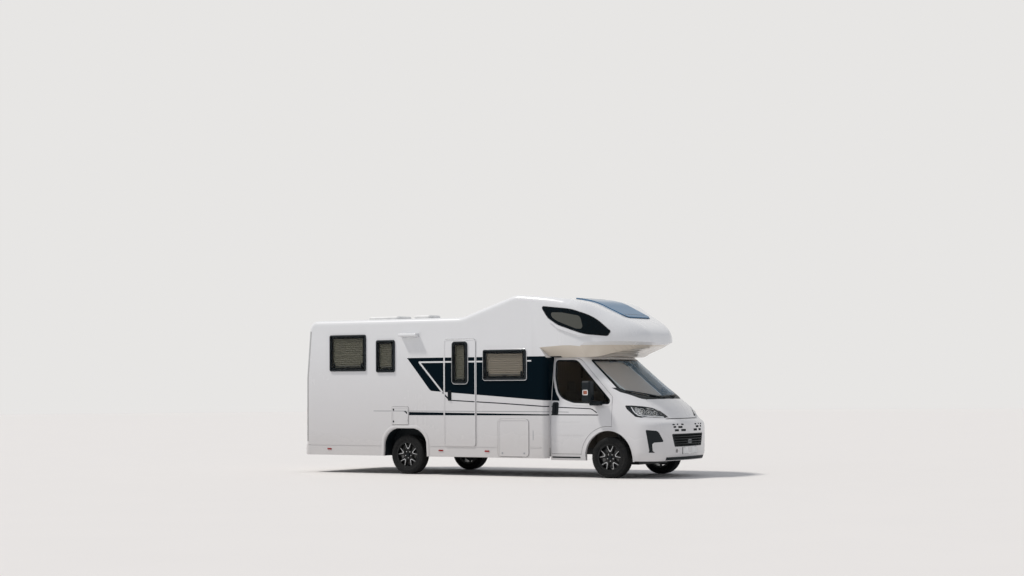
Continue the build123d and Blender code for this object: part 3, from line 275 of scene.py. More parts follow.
# Rubber with fine grain, road dust in the low places
def rubber(name, colour, dust):
    f = Finish(name, Specular_IOR_Level=0.12)
    cloud = f.noise(9.0, detail=6.0)
    film = f.ramp(f.noise(34.0, detail=6.0, rough=0.7), (0.42, 0.0), (0.75, 1.0)) * dust
    f.set(Base_Color=f.blend(film, f.blend(cloud, colour, times(colour, 1.5)), TYRE_DUST))
    f.set(Roughness=f.tone(film + cloud * 0.3, 0.55, 0.9))
    return f.bump(f.noise(700.0, detail=2.0) * 0.5 + cloud, 0.35, 0.0006).material


WHITE = (0.80, 0.805, 0.815)
CAB_WHITE = (0.79, 0.795, 0.81)
body_white = paint("body_white", WHITE, ROAD_FILM, 0.55, 0.55)
# The darker cream on its down-facing underside is painted shade
alcove_white = paint("alcove_white", WHITE, ROAD_FILM, 0.55, 0.55, under=(0.70, 0.635, 0.545))
# The cab's painted shade towards the sills is lighter than the house's
cab_white = paint("cab_white", CAB_WHITE, ROAD_FILM, 0.9, 0.45, sill_shade=(0.86, 0.845, 0.84))
band_black = paint("band_black", (0.0015, 0.007, 0.012), (0.05, 0.05, 0.045), 0.0, 0.06, 0.03)
line_grey = paint("line_grey", (0.30, 0.32, 0.34), ROAD_FILM, 0.5, 0.5)
line_white = paint("line_white", (0.78, 0.79, 0.80), ROAD_FILM, 0.5, 0.5)
black_plastic = plastic("black_plastic", (0.007, 0.011, 0.014), 0.45, dust=0.04, shine=0.2)
gloss_black = plastic("gloss_black", (0.003, 0.006, 0.009), 0.2, dust=0.02, shine=0.15)
grey_plastic = plastic("grey_plastic", (0.36, 0.37, 0.38), 0.48)
pale_plastic = plastic("pale_plastic", (0.74, 0.74, 0.73), 0.4)
cream_lining = plastic("cream_lining", (0.66, 0.60, 0.51), 0.7)
seal_rubber = rubber("seal_rubber", (0.012, 0.012, 0.013), 0.25)
tyre_rubber = rubber("tyre_rubber", (0.0075, 0.0082, 0.009), 0.06)
window_acrylic = pane("window_acrylic", (0.95, 0.945, 0.93), (0.012, 0.016, 0.018), 0.02, shine=0.3)
# The blue of its gloss skin is a painted reflection of a blue sky
cab_glass = pane("cab_glass", (0.975, 0.985, 0.99), (0.20, 0.42, 0.62), 0.0, gloss=1.65)
dark_glass = pane("dark_glass", (0.64, 0.64, 0.63), (0.005, 0.0045, 0.004), 0.10, shine=0.12)
alcove_glass = pane("alcove_glass", (0.30, 0.34, 0.36), (0.0015, 0.006, 0.009), 0.7, shine=0.1)
# Nearly all of this pane is its blue gloss skin, a painted reflection of the sky
roof_glass = pane("roof_glass", (0.30, 0.42, 0.52), (0.10, 0.20, 0.32), 0.93, shine=0.04)
lamp_clear = pane("lamp_clear", (0.98, 0.985, 0.99), (0.30, 0.32, 0.34), 0.0)
lamp_red = pane("lamp_red", (0.75, 0.03, 0.02), (0.40, 0.006, 0.006), 0.55)
lamp_amber = pane("lamp_amber", (0.9, 0.5, 0.35), (0.36, 0.13, 0.09), 0.6)
blind_cloth = cloth("blind_cloth", (0.27, 0.245, 0.205), 260.0, (0.31, 0.28, 0.235))
shade_cloth = cloth("shade_cloth", (0.125, 0.125, 0.098), 260.0, (0.15, 0.15, 0.118))
seat_fabric = cloth("seat_fabric", (0.34, 0.30, 0.25), 190.0, (0.46, 0.42, 0.36))
curtain_cloth = cloth("curtain_cloth", (0.50, 0.405, 0.315), 240.0, (0.60, 0.49, 0.39))
alcove_blind = blind_behind_glass("alcove_blind", (0.026, 0.029, 0.021), (0.042, 0.046, 0.034))
floor_board = plastic("floor_board", (0.10, 0.085, 0.07), 0.7, 300.0)
chassis_steel = steel("chassis_steel", (0.045, 0.047, 0.050), 0.5, 0.2, 0.55)
engine_metal = steel("engine_metal", (0.16, 0.16, 0.16), 0.3, 0.7, 0.45)
machined_alloy = steel("machined_alloy", (0.52, 0.53, 0.54), 0.0, 1.0, 0.30)
lamp_reflector = steel("lamp_reflector", (0.80, 0.81, 0.82), 0.0, 1.0, 0.08)
rim_black = plastic("rim_black", (0.005, 0.0055, 0.006), 0.25, dust=0.05, shine=0.25)
mirror_silver = steel("mirror_silver", (0.86, 0.87, 0.88), 0.0, 1.0, 0.03)
lamp_housing = steel("lamp_housing", (0.24, 0.25, 0.26), 0.0, 0.6, 0.35)
light_guide = plastic("light_guide", (0.80, 0.81, 0.83), 0.25, dust=0.0)
plate_white = plastic("plate_white", (0.76, 0.76, 0.75), 0.3, dust=0.2)
# Grey painted shade for the rear corners
grey_corner_shade = paint("grey_corner_shade", (0.42, 0.425, 0.43), ROAD_FILM, 0.3, 0.4)
grille_grey = plastic("grille_grey", (0.10, 0.11, 0.12), 0.3)
# The disc's dark colour is partly painted shade behind the spokes
disc_steel = steel("disc_steel", (0.10, 0.10, 0.10), 0.35, 0.9, 0.4)

# The record's slot that each finish belongs to, unless a piece names another
SLOTS = {
    "body_white": (body_white, alcove_white, band_black, line_grey, line_white, plate_white),
    "cab_white": (cab_white,),
    "black_plastic": (black_plastic, gloss_black, seal_rubber, lamp_housing),
    "grey_plastic": (grey_plastic, grille_grey, pale_plastic, cream_lining, grey_corner_shade),
    "window_acrylic": (window_acrylic,),
    "lamp_clear": (lamp_clear, lamp_amber, lamp_reflector, light_guide, dark_glass),
    "lamp_red": (lamp_red,),
    "cab_glass": (mirror_silver,),
    "chassis_steel": (chassis_steel,),
    "engine_metal": (engine_metal, machined_alloy, disc_steel),
    "seat_fabric": (seat_fabric, blind_cloth, shade_cloth, curtain_cloth, alcove_blind),
    "tyre_rubber": (tyre_rubber,),
    "rim_black": (rim_black,),
}
SLOT_OF = {material.name: slot for slot, members in SLOTS.items() for material in members}


# Shapes


# Outline from corners (u, v, radius) as points, arcs split into steps
def rounded_outline(corners, steps=8):
    out = []
    n = len(corners)
    for i, (u, v, r) in enumerate(corners):
        here = Vector((u, v))
        before = Vector(corners[i - 1][:2]) - here
        after = Vector(corners[(i + 1) % n][:2]) - here
        a, b = before.normalized(), after.normalized()
        angle = math.acos(max(-1.0, min(1.0, a.dot(b))))
        if r <= 0 or angle > math.pi - 0.02:
            out.append(here)
            continue
        cut = min(r / math.tan(angle / 2), 0.49 * before.length, 0.49 * after.length)
        r = cut * math.tan(angle / 2)
        middle = here + (a + b).normalized() * (r / math.sin(angle / 2))
        start, end = here + a * cut - middle, here + b * cut - middle
        turn = math.atan2(start.x * end.y - start.y * end.x, start.dot(end))
        for k in range(steps + 1):
            t = turn * k / steps
            c, s = math.cos(t), math.sin(t)
            out.append(middle + Vector((start.x * c - start.y * s, start.x * s + start.y * c)))
    return [(p.x, p.y) for p in out]


def panel(u0, u1, v0, v1, r, steps=8):
    return rounded_outline([(u0, v0, r), (u1, v0, r), (u1, v1, r), (u0, v1, r)], steps)


# Edges bent by more than this many degrees stay sharp in shading, or are broken
SMOOTH_ANGLE, BROKEN_ANGLE = 33.0, 35.0
# Points closer than this, in metres, are joined: in meshes from CAD, and in new ones
JOIN_CAD, JOIN_NEW = 2e-5, 1e-6


def smooth_group():
    group = bpy.data.node_groups.new("Smooth by angle", "GeometryNodeTree")
    group.interface.new_socket("Geometry", in_out="INPUT", socket_type="NodeSocketGeometry")
    group.interface.new_socket("Geometry", in_out="OUTPUT", socket_type="NodeSocketGeometry")
    enter, leave = group.nodes.new("NodeGroupInput"), group.nodes.new("NodeGroupOutput")
    angle = group.nodes.new("GeometryNodeInputMeshEdgeAngle")
    below = group.nodes.new("FunctionNodeCompare")
    below.operation = "LESS_THAN"
    below.inputs[1].default_value = math.radians(SMOOTH_ANGLE)
    faces = group.nodes.new("GeometryNodeSetShadeSmooth")
    edges = group.nodes.new("GeometryNodeSetShadeSmooth")
    edges.domain = "EDGE"
    group.links.new(angle.outputs[0], below.inputs[0])
    group.links.new(enter.outputs[0], faces.inputs[0])
    group.links.new(faces.outputs[0], edges.inputs[0])
    group.links.new(below.outputs[0], edges.inputs["Shade Smooth"])
    group.links.new(edges.outputs[0], leave.inputs[0])
    return group


SMOOTH = smooth_group()


# Broken edges and shading that is smooth up to an angle, on welded faces where the mesh comes from CAD
def soften(piece, edge, weld=False):
    for face in piece.data.polygons:
        face.use_smooth = True
    if weld:
        join = piece.modifiers.new("Weld", "WELD")
        join.merge_threshold = JOIN_CAD
    if edge > 0:
        bevel = piece.modifiers.new("Edge", "BEVEL")
        bevel.width, bevel.segments = edge, 2
        bevel.limit_method, bevel.angle_limit = "ANGLE", math.radians(BROKEN_ANGLE)
        bevel.harden_normals = False
    smooth = piece.modifiers.new("Smooth", "NODES")
    smooth.node_group = SMOOTH
    if edge > 0:
        weighted = piece.modifiers.new("Normals", "WEIGHTED_NORMAL")
        weighted.keep_sharp, weighted.mode = True, "FACE_AREA_WITH_ANGLE"


def finish_piece(piece, material, body, slot=None, edge=0.0):
    piece.data.materials.clear()
    piece.data.materials.append(material)
    soften(piece, edge)
    slot = slot or SLOT_OF[material.name]
    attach(piece, body)
    return piece


# New object in the scene
def link(name, data):
    made = bpy.data.objects.new(name, data)
    bpy.context.scene.collection.objects.link(made)
    return made


# Mesh made from worked faces, which are freed
def settle(name, bm):
    mesh = bpy.data.meshes.new(name)
    bm.to_mesh(mesh)
    bm.free()
    return mesh


def mesh_piece(name, verts, faces, material, body, slot=None, edge=0.0):
    mesh = bpy.data.meshes.new(name)
    mesh.from_pydata([tuple(v) for v in verts], [], faces)
    mesh.validate()
    bm = bmesh.new()
    bm.from_mesh(mesh)
    bmesh.ops.remove_doubles(bm, verts=bm.verts, dist=JOIN_NEW)
    bmesh.ops.recalc_face_normals(bm, faces=bm.faces)
    bm.to_mesh(mesh)
    bm.free()
    return finish_piece(link(name, mesh), material, body, slot, edge)


# Several closed parts gathered as one mesh
class Parts:
    def __init__(self):
        self.verts, self.faces = [], []

    def add(self, verts, faces):
        base = len(self.verts)
        self.verts += [Vector(v) for v in verts]
        self.faces += [tuple(base + i for i in face) for face in faces]
        return self

    # Prism of a closed outline, mapped by at(u, v, w) between two depths
    def prism(self, outline, w0, w1, at):
        n = len(outline)
        low = [at(u, v, w0) for u, v in outline]
        high = [at(u, v, w1) for u, v in outline]
        sides = [(i, (i + 1) % n, n + (i + 1) % n, n + i) for i in range(n)]
        return self.add(low + high, [tuple(range(n))[::-1], tuple(range(n, 2 * n)), *sides])

    # Moulding that carries a closed profile of (outward, out) along an outline
    def moulding(self, outline, profile, at, closed=True):
        outs = outward(outline, closed)
        n, m = len(outline), len(profile)
        rings = [[at(u + o.x * d, v + o.y * d, w) for d, w in profile] for (u, v), o in zip(outline, outs)]
        faces = []
        for i in range(n if closed else n - 1):
            j = (i + 1) % n
            faces += [(i * m + k, j * m + k, j * m + (k + 1) % m, i * m + (k + 1) % m) for k in range(m)]
        if not closed:
            faces += [tuple(range(m)), tuple(range((n - 1) * m, n * m))[::-1]]
        return self.add([v for ring in rings for v in ring], faces)

    # Round bar through points
    def tube(self, points, radius, sides=12):
        points = [Vector(p) for p in points]
        rings = []
        for i, p in enumerate(points):
            ahead = points[min(i + 1, len(points) - 1)] - points[max(i - 1, 0)]
            ahead.normalize()
            ref = Vector((0, 0, 1)) if abs(ahead.z) < 0.9 else Vector((1, 0, 0))
            side = ahead.cross(ref).normalized()
            up = side.cross(ahead)
            turns = [2 * math.pi * k / sides for k in range(sides)]
            rings.append([p + (side * math.cos(t) + up * math.sin(t)) * radius for t in turns])
        verts = [v for ring in rings for v in ring]
        faces = [tuple(range(sides)), tuple(len(verts) - sides + k for k in range(sides))[::-1]]
        for i in range(len(points) - 1):
            for k in range(sides):
                m = (k + 1) % sides
                faces.append((i * sides + k, (i + 1) * sides + k, (i + 1) * sides + m, i * sides + m))
        return self.add(verts, faces)

    # Turned part: profile of (radius, along) in millimetres, about the line through a point
    def turned(self, profile, centre, axis, sides=48):
        axis = Vector(axis).normalized()
        ref = Vector((0, 0, 1)) if abs(axis.z) < 0.9 else Vector((1, 0, 0))
        one = axis.cross(ref).normalized()
        two = axis.cross(one)
        n = len(profile)
        verts = []
        for k in range(sides):
            t = 2 * math.pi * k / sides
            out = one * math.cos(t) + two * math.sin(t)
            verts += [Vector(centre) + out * (r / 1000) + axis * (a / 1000) for r, a in profile]
        faces = []
        for k in range(sides):
            m = (k + 1) % sides
            for i in range(n - 1):
                faces.append((k * n + i, m * n + i, m * n + i + 1, k * n + i + 1))
        return self.add(verts, faces)

    # Curved plate between two grids of points
    def slab(self, front, back):
        rows, across = len(front), len(front[0])
        m = rows * across
        verts = [v for grid in (front, back) for row in grid for v in row]
        faces = []
        for i in range(rows - 1):
            for k in range(across - 1):
                a, b = i * across + k, (i + 1) * across + k
                faces += [(a, a + 1, b + 1, b), (m + a, m + b, m + b + 1, m + a + 1)]
        rim = list(range(across)) + [(i + 1) * across - 1 for i in range(1, rows)]
        rim += [(rows - 1) * across + k for k in range(across - 2, -1, -1)]
        rim += [i * across for i in range(rows - 2, 0, -1)]
        for a, b in zip(rim, rim[1:] + rim[:1]):
            faces.append((a, m + a, m + b, b))
        return self.add(verts, faces)

    # Curved plate that follows a surface along u
    def plank(self, u0, u1, v0, v1, w0, w1, at, cuts=24):
        us = [u0 + (u1 - u0) * k / cuts for k in range(cuts + 1)]
        return self.slab(*[[[at(u, v, w) for u in us] for v in (v0, v1)] for w in (w1, w0)])

    def box(self, low, high):
        (x0, y0, z0), (x1, y1, z1) = low, high
        outline = [(x0, y0), (x1, y0), (x1, y1), (x0, y1)]
        return self.prism(outline, z0, z1, lambda u, v, w: Vector((u, v, w)))

    def piece(self, name, material, body="motorhome", slot=None, edge=0.0):
        return mesh_piece(name, self.verts, self.faces, material, body, slot, edge)


# Maps (station, height, out from the side wall) in millimetres to the row frame, on either side
def on_side(sign):
    return lambda u, v, w: Vector((station(u), sign * (HALF + w) / 1000.0, v / 1000.0))


# Cuts away what lies outside a convex outline drawn on the side, or else on the front
def trim(bm, outline, sideways):
    corners = [Vector(p) for p in outline]
    centre = sum(corners, Vector((0, 0))) / len(corners)
    for a, b in zip(corners, corners[1:] + corners[:1]):
        if (b - a).length < JOIN_NEW:
            continue
        across = Vector((b.y - a.y, a.x - b.x)).normalized()
        if across.dot(a - centre) < 0:
            across = -across
        point = Vector((a.x, 0, a.y)) if sideways else Vector((0, a.x, a.y))
        normal = Vector((across.x, 0, across.y)) if sideways else Vector((0, across.x, across.y))
        cut = {"plane_co": point, "plane_no": normal, "clear_outer": True, "dist": JOIN_NEW}
        bmesh.ops.bisect_plane(bm, geom=bm.verts[:] + bm.edges[:] + bm.faces[:], **cut)


# Stations between which a face that looks along the wall still carries the stripes
WALL_END = (-1160, -1132)


# Copies the outer faces of a CAD node inside convex outlines as a thin skin that lies on it
def skin(name, node, outlines, look, material, lift, half=0, limit=0.25, edge=0.0, inside=None):
    source = nodes[node]
    whole = bmesh.new()
    whole.from_mesh(source.data)
    look = Vector(look)
    bmesh.ops.remove_doubles(whole, verts=whole.verts, dist=JOIN_CAD)
    whole.normal_update()
    sideways = abs(look.y) > 0.5
    away = []
    for face in whole.faces:
        middle = face.calc_center_median()
        at_end = station(WALL_END[0]) < middle.x < station(WALL_END[1])
        reveal = sideways and abs(face.normal.y) < 0.05 and not at_end
        if face.normal.dot(look) < limit or reveal or middle.y * half < 0:
            away.append(face)
    bmesh.ops.delete(whole, geom=away, context="FACES")
    base = settle("base", whole)
    gathered = bmesh.new()
    for outline in outlines:
        bm = bmesh.new()
        bm.from_mesh(base)
        trim(bm, outline, sideways)
        if inside:
            trim(bm, inside, sideways)
        part = settle("part", bm)
        gathered.from_mesh(part)
        bpy.data.meshes.remove(part)
    bpy.data.meshes.remove(base)
    bmesh.ops.remove_doubles(gathered, verts=gathered.verts, dist=JOIN_CAD)
    if not gathered.faces:
        gathered.free()
        return
    piece = link(name, settle(name, gathered))
    thick = piece.modifiers.new("Film", "SOLIDIFY")
    thick.thickness, thick.offset = lift, 1.0
    thick.use_even_offset = False
    finish_piece(piece, material, source["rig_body"], edge=edge)


# Mitred outward directions at the points of a closed or open outline
def outward(outline, closed=True):
    points = [Vector(p) for p in outline]
    n = len(points)
    turn = sum(points[i - 1].x * points[i].y - points[i].x * points[i - 1].y for i in range(n))
    outs = []
    for i in range(n):
        before = points[i] - points[i - 1] if closed or i else points[1] - points[0]
        after = points[(i + 1) % n] - points[i] if closed or i + 1 < n else before
        a, b = before.normalized(), after.normalized()
        one, two = Vector((a.y, -a.x)), Vector((b.y, -b.x))
        middle = (one + two).normalized()
        outs.append(middle * (math.copysign(1.0, turn) / max(0.4, middle.dot(one))))
    return outs


def offset(outline, distance):
    return [(p[0] + o.x * distance, p[1] + o.y * distance) for p, o in zip(outline, outward(outline))]


# Quads between two distances outward of a closed outline
def band(outline, inner, outer):
    low, high = offset(outline, inner), offset(outline, outer)
    n = len(outline)
    return [[low[i], high[i], high[(i + 1) % n], low[(i + 1) % n]] for i in range(n)]


# Points (station, height) in millimetres, in metres of the row frame
def placed(points):
    return [(station(u), v / 1000) for u, v in points]


def metres(outline):
    return [(u / 1000, v / 1000) for u, v in outline]


# Quads along a line of points (station, height) in millimetres, mitred at the bends
def ribbon(points, width):
    line = placed(points)
    outs = outward(line, closed=False)
    half = width / 2000
    edges = [[(p[0] + o.x * k, p[1] + o.y * k) for p, o in zip(line, outs)] for k in (half, -half)]
    return [[edges[0][i], edges[0][i + 1], edges[1][i + 1], edges[1][i]] for i in range(len(line) - 1)]


# Closed outline round a line, with half its width on each side
def offset_line(points, half):
    outs = outward(points, closed=False)
    one = [(p[0] + o.x * half, p[1] + o.y * half) for p, o in zip(points, outs)]
    two = [(p[0] - o.x * half, p[1] - o.y * half) for p, o in zip(points, outs)]
    return one + two[::-1]


def circle(u, v, r, count):
    turns = [2 * math.pi * k / count for k in range(count)]
    return [(u + r * math.cos(t), v + r * math.sin(t)) for t in turns]


trees = {}


# Search tree over the faces of CAD nodes
def tree_of(names):
    if names not in trees:
        verts, faces = [], []
        for name in names:
            base = len(verts)
            verts += [v.co.copy() for v in nodes[name].data.vertices]
            faces += [tuple(base + i for i in face.vertices) for face in nodes[name].data.polygons]
        trees[names] = BVHTree.FromPolygons(verts, faces)
    return trees[names]


# How far from the middle the search for a surface starts, sideways and upwards
SEEN_FROM, SEEN_FROM_ABOVE = 6.0, 4.0
# Height of the roof where the search from above finds nothing at first
ROOF_Z = 2.7


# Maps (along, height, out) in millimetres on to the outside of CAD nodes, seen from the way they look.
# Past their edges the last depth that was found goes on
def on_surface(names, origin, along, look):
    tree = tree_of(names)
    origin, along, look = Vector(origin), Vector(along).normalized(), Vector(look).normalized()
    last = [0.0]

    def at(u, v, w):
        start = origin + along * (u / 1000) + Vector((0, 0, v / 1000)) + look * SEEN_FROM
        hit = tree.ray_cast(start, -look)[3]
        if hit is not None:
            last[0] = SEEN_FROM - hit
        return start + look * (last[0] - SEEN_FROM + w / 1000)

    return at


# Maps (station, width, up) in millimetres on to the top of CAD nodes, in the same way
def roof_map(*names):
    tree = tree_of(names)
    last = [ROOF_Z]

    def at(u, v, w):
        spot = tree.ray_cast(Vector((station(u), v / 1000, SEEN_FROM_ABOVE)), Vector((0, 0, -1)))[0]
        if spot is None:
            return Vector((station(u), v / 1000, last[0] + w / 1000))
        last[0] = spot.z
        return spot + Vector((0, 0, w / 1000))

    return at


# Finishes of the CAD nodes
CAD_FINISHES = [
    (body_white, "roof_panel rear_wall side_wall_right side_wall_left side_skirts rear_bumper bulkhead "
                 "awning_lamp entry_door locker_hatch cassette_hatch garage_door"),
    (alcove_white, "alcove_shell"),
    (cab_white, "front_bumper front_wings cab_frame bonnet cab_door_right cab_door_left"),
    (window_acrylic, "side_windows entry_door_window"),
    (cab_glass, "windscreen"),
    (alcove_glass, "alcove_windows"),
    (roof_glass, "alcove_rooflight"),
    (dark_glass, "cab_door_glass_right cab_door_glass_left"),
    (black_plastic, "cowl wipers mirror_right mirror_left dashboard steering_wheel front_grilles "
                    "wheel_boxes fuel_tank"),
    (grey_plastic, "waste_tank"),
    (pale_plastic, "roof_vents side_vents"),
    (lamp_clear, "headlamps"),
    (lamp_red, "rear_lamps"),
    (floor_board, "habitation_floor cab_floor"),
    (chassis_steel, "chassis_frame rear_axle front_subframe towing_points"),
    (engine_metal, "engine_block exhaust radiator knuckle_right knuckle_left"),
    (seat_fabric, "cab_seats"),
    (tyre_rubber, "tyre_front_right tyre_front_left tyre_rear_right tyre_rear_left"),
    (rim_black, "rim_front_right rim_front_left rim_rear_right rim_rear_left"),
]
SECOND_FINISHES = [
    (cream_lining, "side_wall_right side_wall_left roof_panel rear_wall bulkhead cab_frame"),
    (grey_plastic, "cab_door_right cab_door_left"),
]
# Width of the broken edges in metres
BROKEN_EDGES = [
    (0.0025, "rim_front_right rim_front_left rim_rear_right rim_rear_left"),
    (0.003, "entry_door locker_hatch cassette_hatch garage_door front_grilles side_windows front_bumper "
            "wipers"),
    (0.004, "side_skirts entry_door_window chassis_frame"),
    (0.005, "front_subframe radiator"),
    (0.006, "roof_vents rear_lamps awning_lamp"),
    (0.008, "fuel_tank waste_tank"),
    (0.01, "dashboard"),
    (0.012, "rear_bumper"),
    (0.02, "cab_seats engine_block"),
]
# Heights at which the rear lamps change from red to amber and from amber to clear
AMBER_TOP, CLEAR_TOP = 1.015, 0.825
# Half width between the linings of the walls, height of the ceiling's highest face, half width of the passage
LINING_Y, CEILING_TOP, PASSAGE_HALF = 1.118, 2.72, 0.78


def by_node(rows):
    return {node: item for item, members in rows for node in members.split()}


# Whether a face takes the second finish of its node
def looks_inward(node, centre, normal):
    across = normal.y * centre.y
    if node.startswith("side_wall"):
        return across < -0.3 and abs(centre.y) < LINING_Y
    if node == "roof_panel":
        return normal.z < -0.6 and centre.z < CEILING_TOP
    if node == "rear_wall":
        return normal.x > 0.6
    if node == "bulkhead":
        return normal.x < -0.5 or abs(centre.y) < PASSAGE_HALF
    if node == "cab_frame":
        return (across < -0.2 or normal.z < -0.3 or normal.x < -0.3) and centre.z > 1.0
    return across < -0.4


def dress_nodes():
    first, second, edges = by_node(CAD_FINISHES), by_node(SECOND_FINISHES), by_node(BROKEN_EDGES)
    for node, piece in nodes.items():
        materials, faces = piece.data.materials, piece.data.polygons
        materials.clear()
        materials.append(first[node])
        if node in second:
            materials.append(second[node])
            for face in faces:
                face.material_index = int(looks_inward(node, face.center, face.normal))
        if node == "rear_lamps":
            materials.append(lamp_amber)
            materials.append(lamp_clear)
            for face in faces:
                face.material_index = int(face.center.z <= AMBER_TOP) + int(face.center.z <= CLEAR_TOP)
        normals = piece.data.attributes.get("custom_normal")
        if normals:
            piece.data.attributes.remove(normals)
        soften(piece, edges.get(node, 0.0), weld=True)


dress_nodes()


# Stripes on the sides
SIDES = (("right", -1), ("left", 1))
BAND = placed([(-3993, 2052), (-3516, 1494), (-3478, 1469), (-2057, 1367), (-1140, 1301), (-1140, 2052)])
DOOR_BOUND = placed([(-3184, 500), (-2570, 500), (-2570, 2356), (-3184, 2356)])
CAB_BAND = [
    placed([(-1140, 1690), (-1122, 1690), (-1088, 1519), (-1140, 1519)]),
    placed([(-1140, 1519), (-1088, 1519), (-1030, 1400), (-1140, 1400)]),
    placed([(-1140, 1400), (-1030, 1400), (-978, 1320), (-976, 1292), (-1140, 1301)]),
]
WIDE_STRIPE = [placed([(-3966, 1098), (-1140, 1066), (-1140, 1046), (-3966, 1042)])]
STRIPE_START = [placed([(-4066, 1117), (-4040, 1114), (-3966, 1098), (-3966, 1042)])]
BAND_TOP = placed([(-1140, 2026), (-930, 2026), (-930, 2052), (-1140, 2052)])
CAB_WAIST_LINE = [(-1130, 1198), (-995, 1184), (-366, 1161), (-323, 1148), (-235, 1093)]
# Band round the passage, on the front of the bulkhead: inner and outer half width, bottom and top
COLLAR = (0.80, 1.06, 1.302, 2.03)
# Layers of film over one another
FILM, SECOND_FILM, THIRD_FILM = 0.0009, 0.0018, 0.0021
WALLS = "side_wall_SIDE entry_door"


def side_skins(name, outlines, material, lift, hosts):
    for side, sign in SIDES:
        for host in hosts.split():
            node = host.replace("SIDE", side)
            if sign > 0 and host in ("entry_door", "cassette_hatch"):
                continue
            bound = DOOR_BOUND if host == "entry_door" else None
            skin(f"{name}_{node}", node, outlines, (0.3, sign, 0), material, lift, inside=bound)


# Outlines of each mark, its finish, its layer and the nodes that carry it
STRIPES = [
    ("band", [BAND], band_black, FILM, WALLS),
    ("band_top", [BAND, BAND_TOP], band_black, FILM, "alcove_shell"),
    ("band", CAB_BAND, band_black, FILM, "cab_door_SIDE"),
    ("upper_line", ribbon([(-3742, 1975), (-2397, 1975)], 27), line_white, SECOND_FILM, WALLS),
    ("upper_line_end", ribbon([(-1512, 1977), (-1427, 1977)], 24), line_white, SECOND_FILM, "side_wall_SIDE"),
    ("slant_line", ribbon([(-3735, 1977), (-3240, 1443)], 30), line_white, THIRD_FILM, WALLS),
    ("slant_tail", ribbon([(-3240, 1443), (-3088, 1306)], 24), band_black, SECOND_FILM, WALLS),
    ("waist_line", ribbon([(-3088, 1306), (-2058, 1254), (-1132, 1198)], 16), band_black, SECOND_FILM, WALLS),
    ("waist_line", ribbon(CAB_WAIST_LINE, 15), band_black, FILM, "cab_door_SIDE"),
    ("grey_line", ribbon([(-4720, 1115), (-2059, 1114), (-1132, 1110)], 9), line_grey, FILM,
     WALLS + " cassette_hatch"),
    ("grey_line", ribbon([(-1130, 1110), (-781, 1103)], 9), line_grey, FILM, "cab_door_SIDE"),
    ("wide_stripe", WIDE_STRIPE, band_black, FILM, WALLS),
    ("wide_stripe", STRIPE_START, band_black, FILM, "cassette_hatch"),
    ("wide_stripe", ribbon([(-1130, 1056), (-204, 1056)], 16), band_black, FILM, "cab_door_SIDE"),
]


def stripes():
    for stripe in STRIPES:
        side_skins(*stripe)
    for side, sign in SIDES:
        inner, outer, low, high = COLLAR
        collar = [(sign * y, z) for y, z in ((inner, low), (outer, low), (outer, high), (inner, high))]
        skin("band_collar_" + side, "bulkhead", [collar], (1, 0, 0), band_black, FILM)


stripes()


# Windows
# Side, rear, front, bottom and top of each outer frame, corner radius
WINDOWS = {
    "bedroom_right": (-1, -5689, -4885, 1826, 2481, 34), "washroom_right": (-1, -4659, -4254, 1802, 2376, 34),
    "dinette_right": (-1, -2397, -1529, 1654, 2174, 34), "bedroom_left": (1, -5689, -4885, 1826, 2481, 34),
    "kitchen_left": (1, -3700, -2822, 1654, 2174, 34), "dinette_left": (1, -2397, -1529, 1654, 2174, 34),
}
ENTRY_WINDOW = (-1, -3033, -2713, 1594, 2327, 60)
# Sections of the mouldings round a window: distance outward of the frame, height over the wall
FRAME_SECTION = [(0, 0.4), (0, 15), (-3, 20), (-9, 24), (-24, 25.5), (-28, 24), (-30, 20), (-30, 0.4)]
BORDER_SECTION = [(-29, 9), (-29, 14), (-64, 14), (-66, 12), (-66, 9)]
RIM_SECTION = [(13, 0.4), (13, 2.5), (11, 4), (1, 4), (1, 0.4)]


# Heights and depths along a pleated sheet
def pleats(low, high, pitch, depth):
    count = max(4, round((high - low) / pitch))
    return [((low + (high - low) * k / count), depth * (k % 2)) for k in range(count + 1)]


# Pleated blind between its rails
def window_blind(name, u0, u1, v0, v1, base, at, finish, body):
    line = pleats(v0, v1, 19.0, 7.0)
    rows = [[at(u, v, base - 10 - w) for u in (u0, u1)] for v, w in line]
    rows += [[at(u, v, base - 12.5 - w) for u in (u0, u1)] for v, w in reversed(line)]
    n = len(rows)
    faces = [(2 * i, 2 * i + 1, 2 * ((i + 1) % n) + 1, 2 * ((i + 1) % n)) for i in range(n)]
    for i in range(n // 2 - 1):
        j, k = n - 1 - i, n - 2 - i
        faces += [(2 * i, 2 * i + 2, 2 * k, 2 * j), (2 * i + 1, 2 * j + 1, 2 * k + 1, 2 * i + 3)]
    Parts().add([v for row in rows for v in row], faces).piece(f"{name}_blind", finish, body)
    rails = Parts()
    for v in (v0 - 16, v1 - 2):
        rails.prism(panel(u0 - 4, u1 + 4, v, v + 18, 4, 3), base - 24, base - 6, at)
    rails.prism(panel(u0 + 12, u1 - 12, v0 + 34, v0 + 44, 4, 3), base - 9.4, base - 4, at)
    rails.piece(f"{name}_blind_rails", grille_grey, body, edge=0.0015)


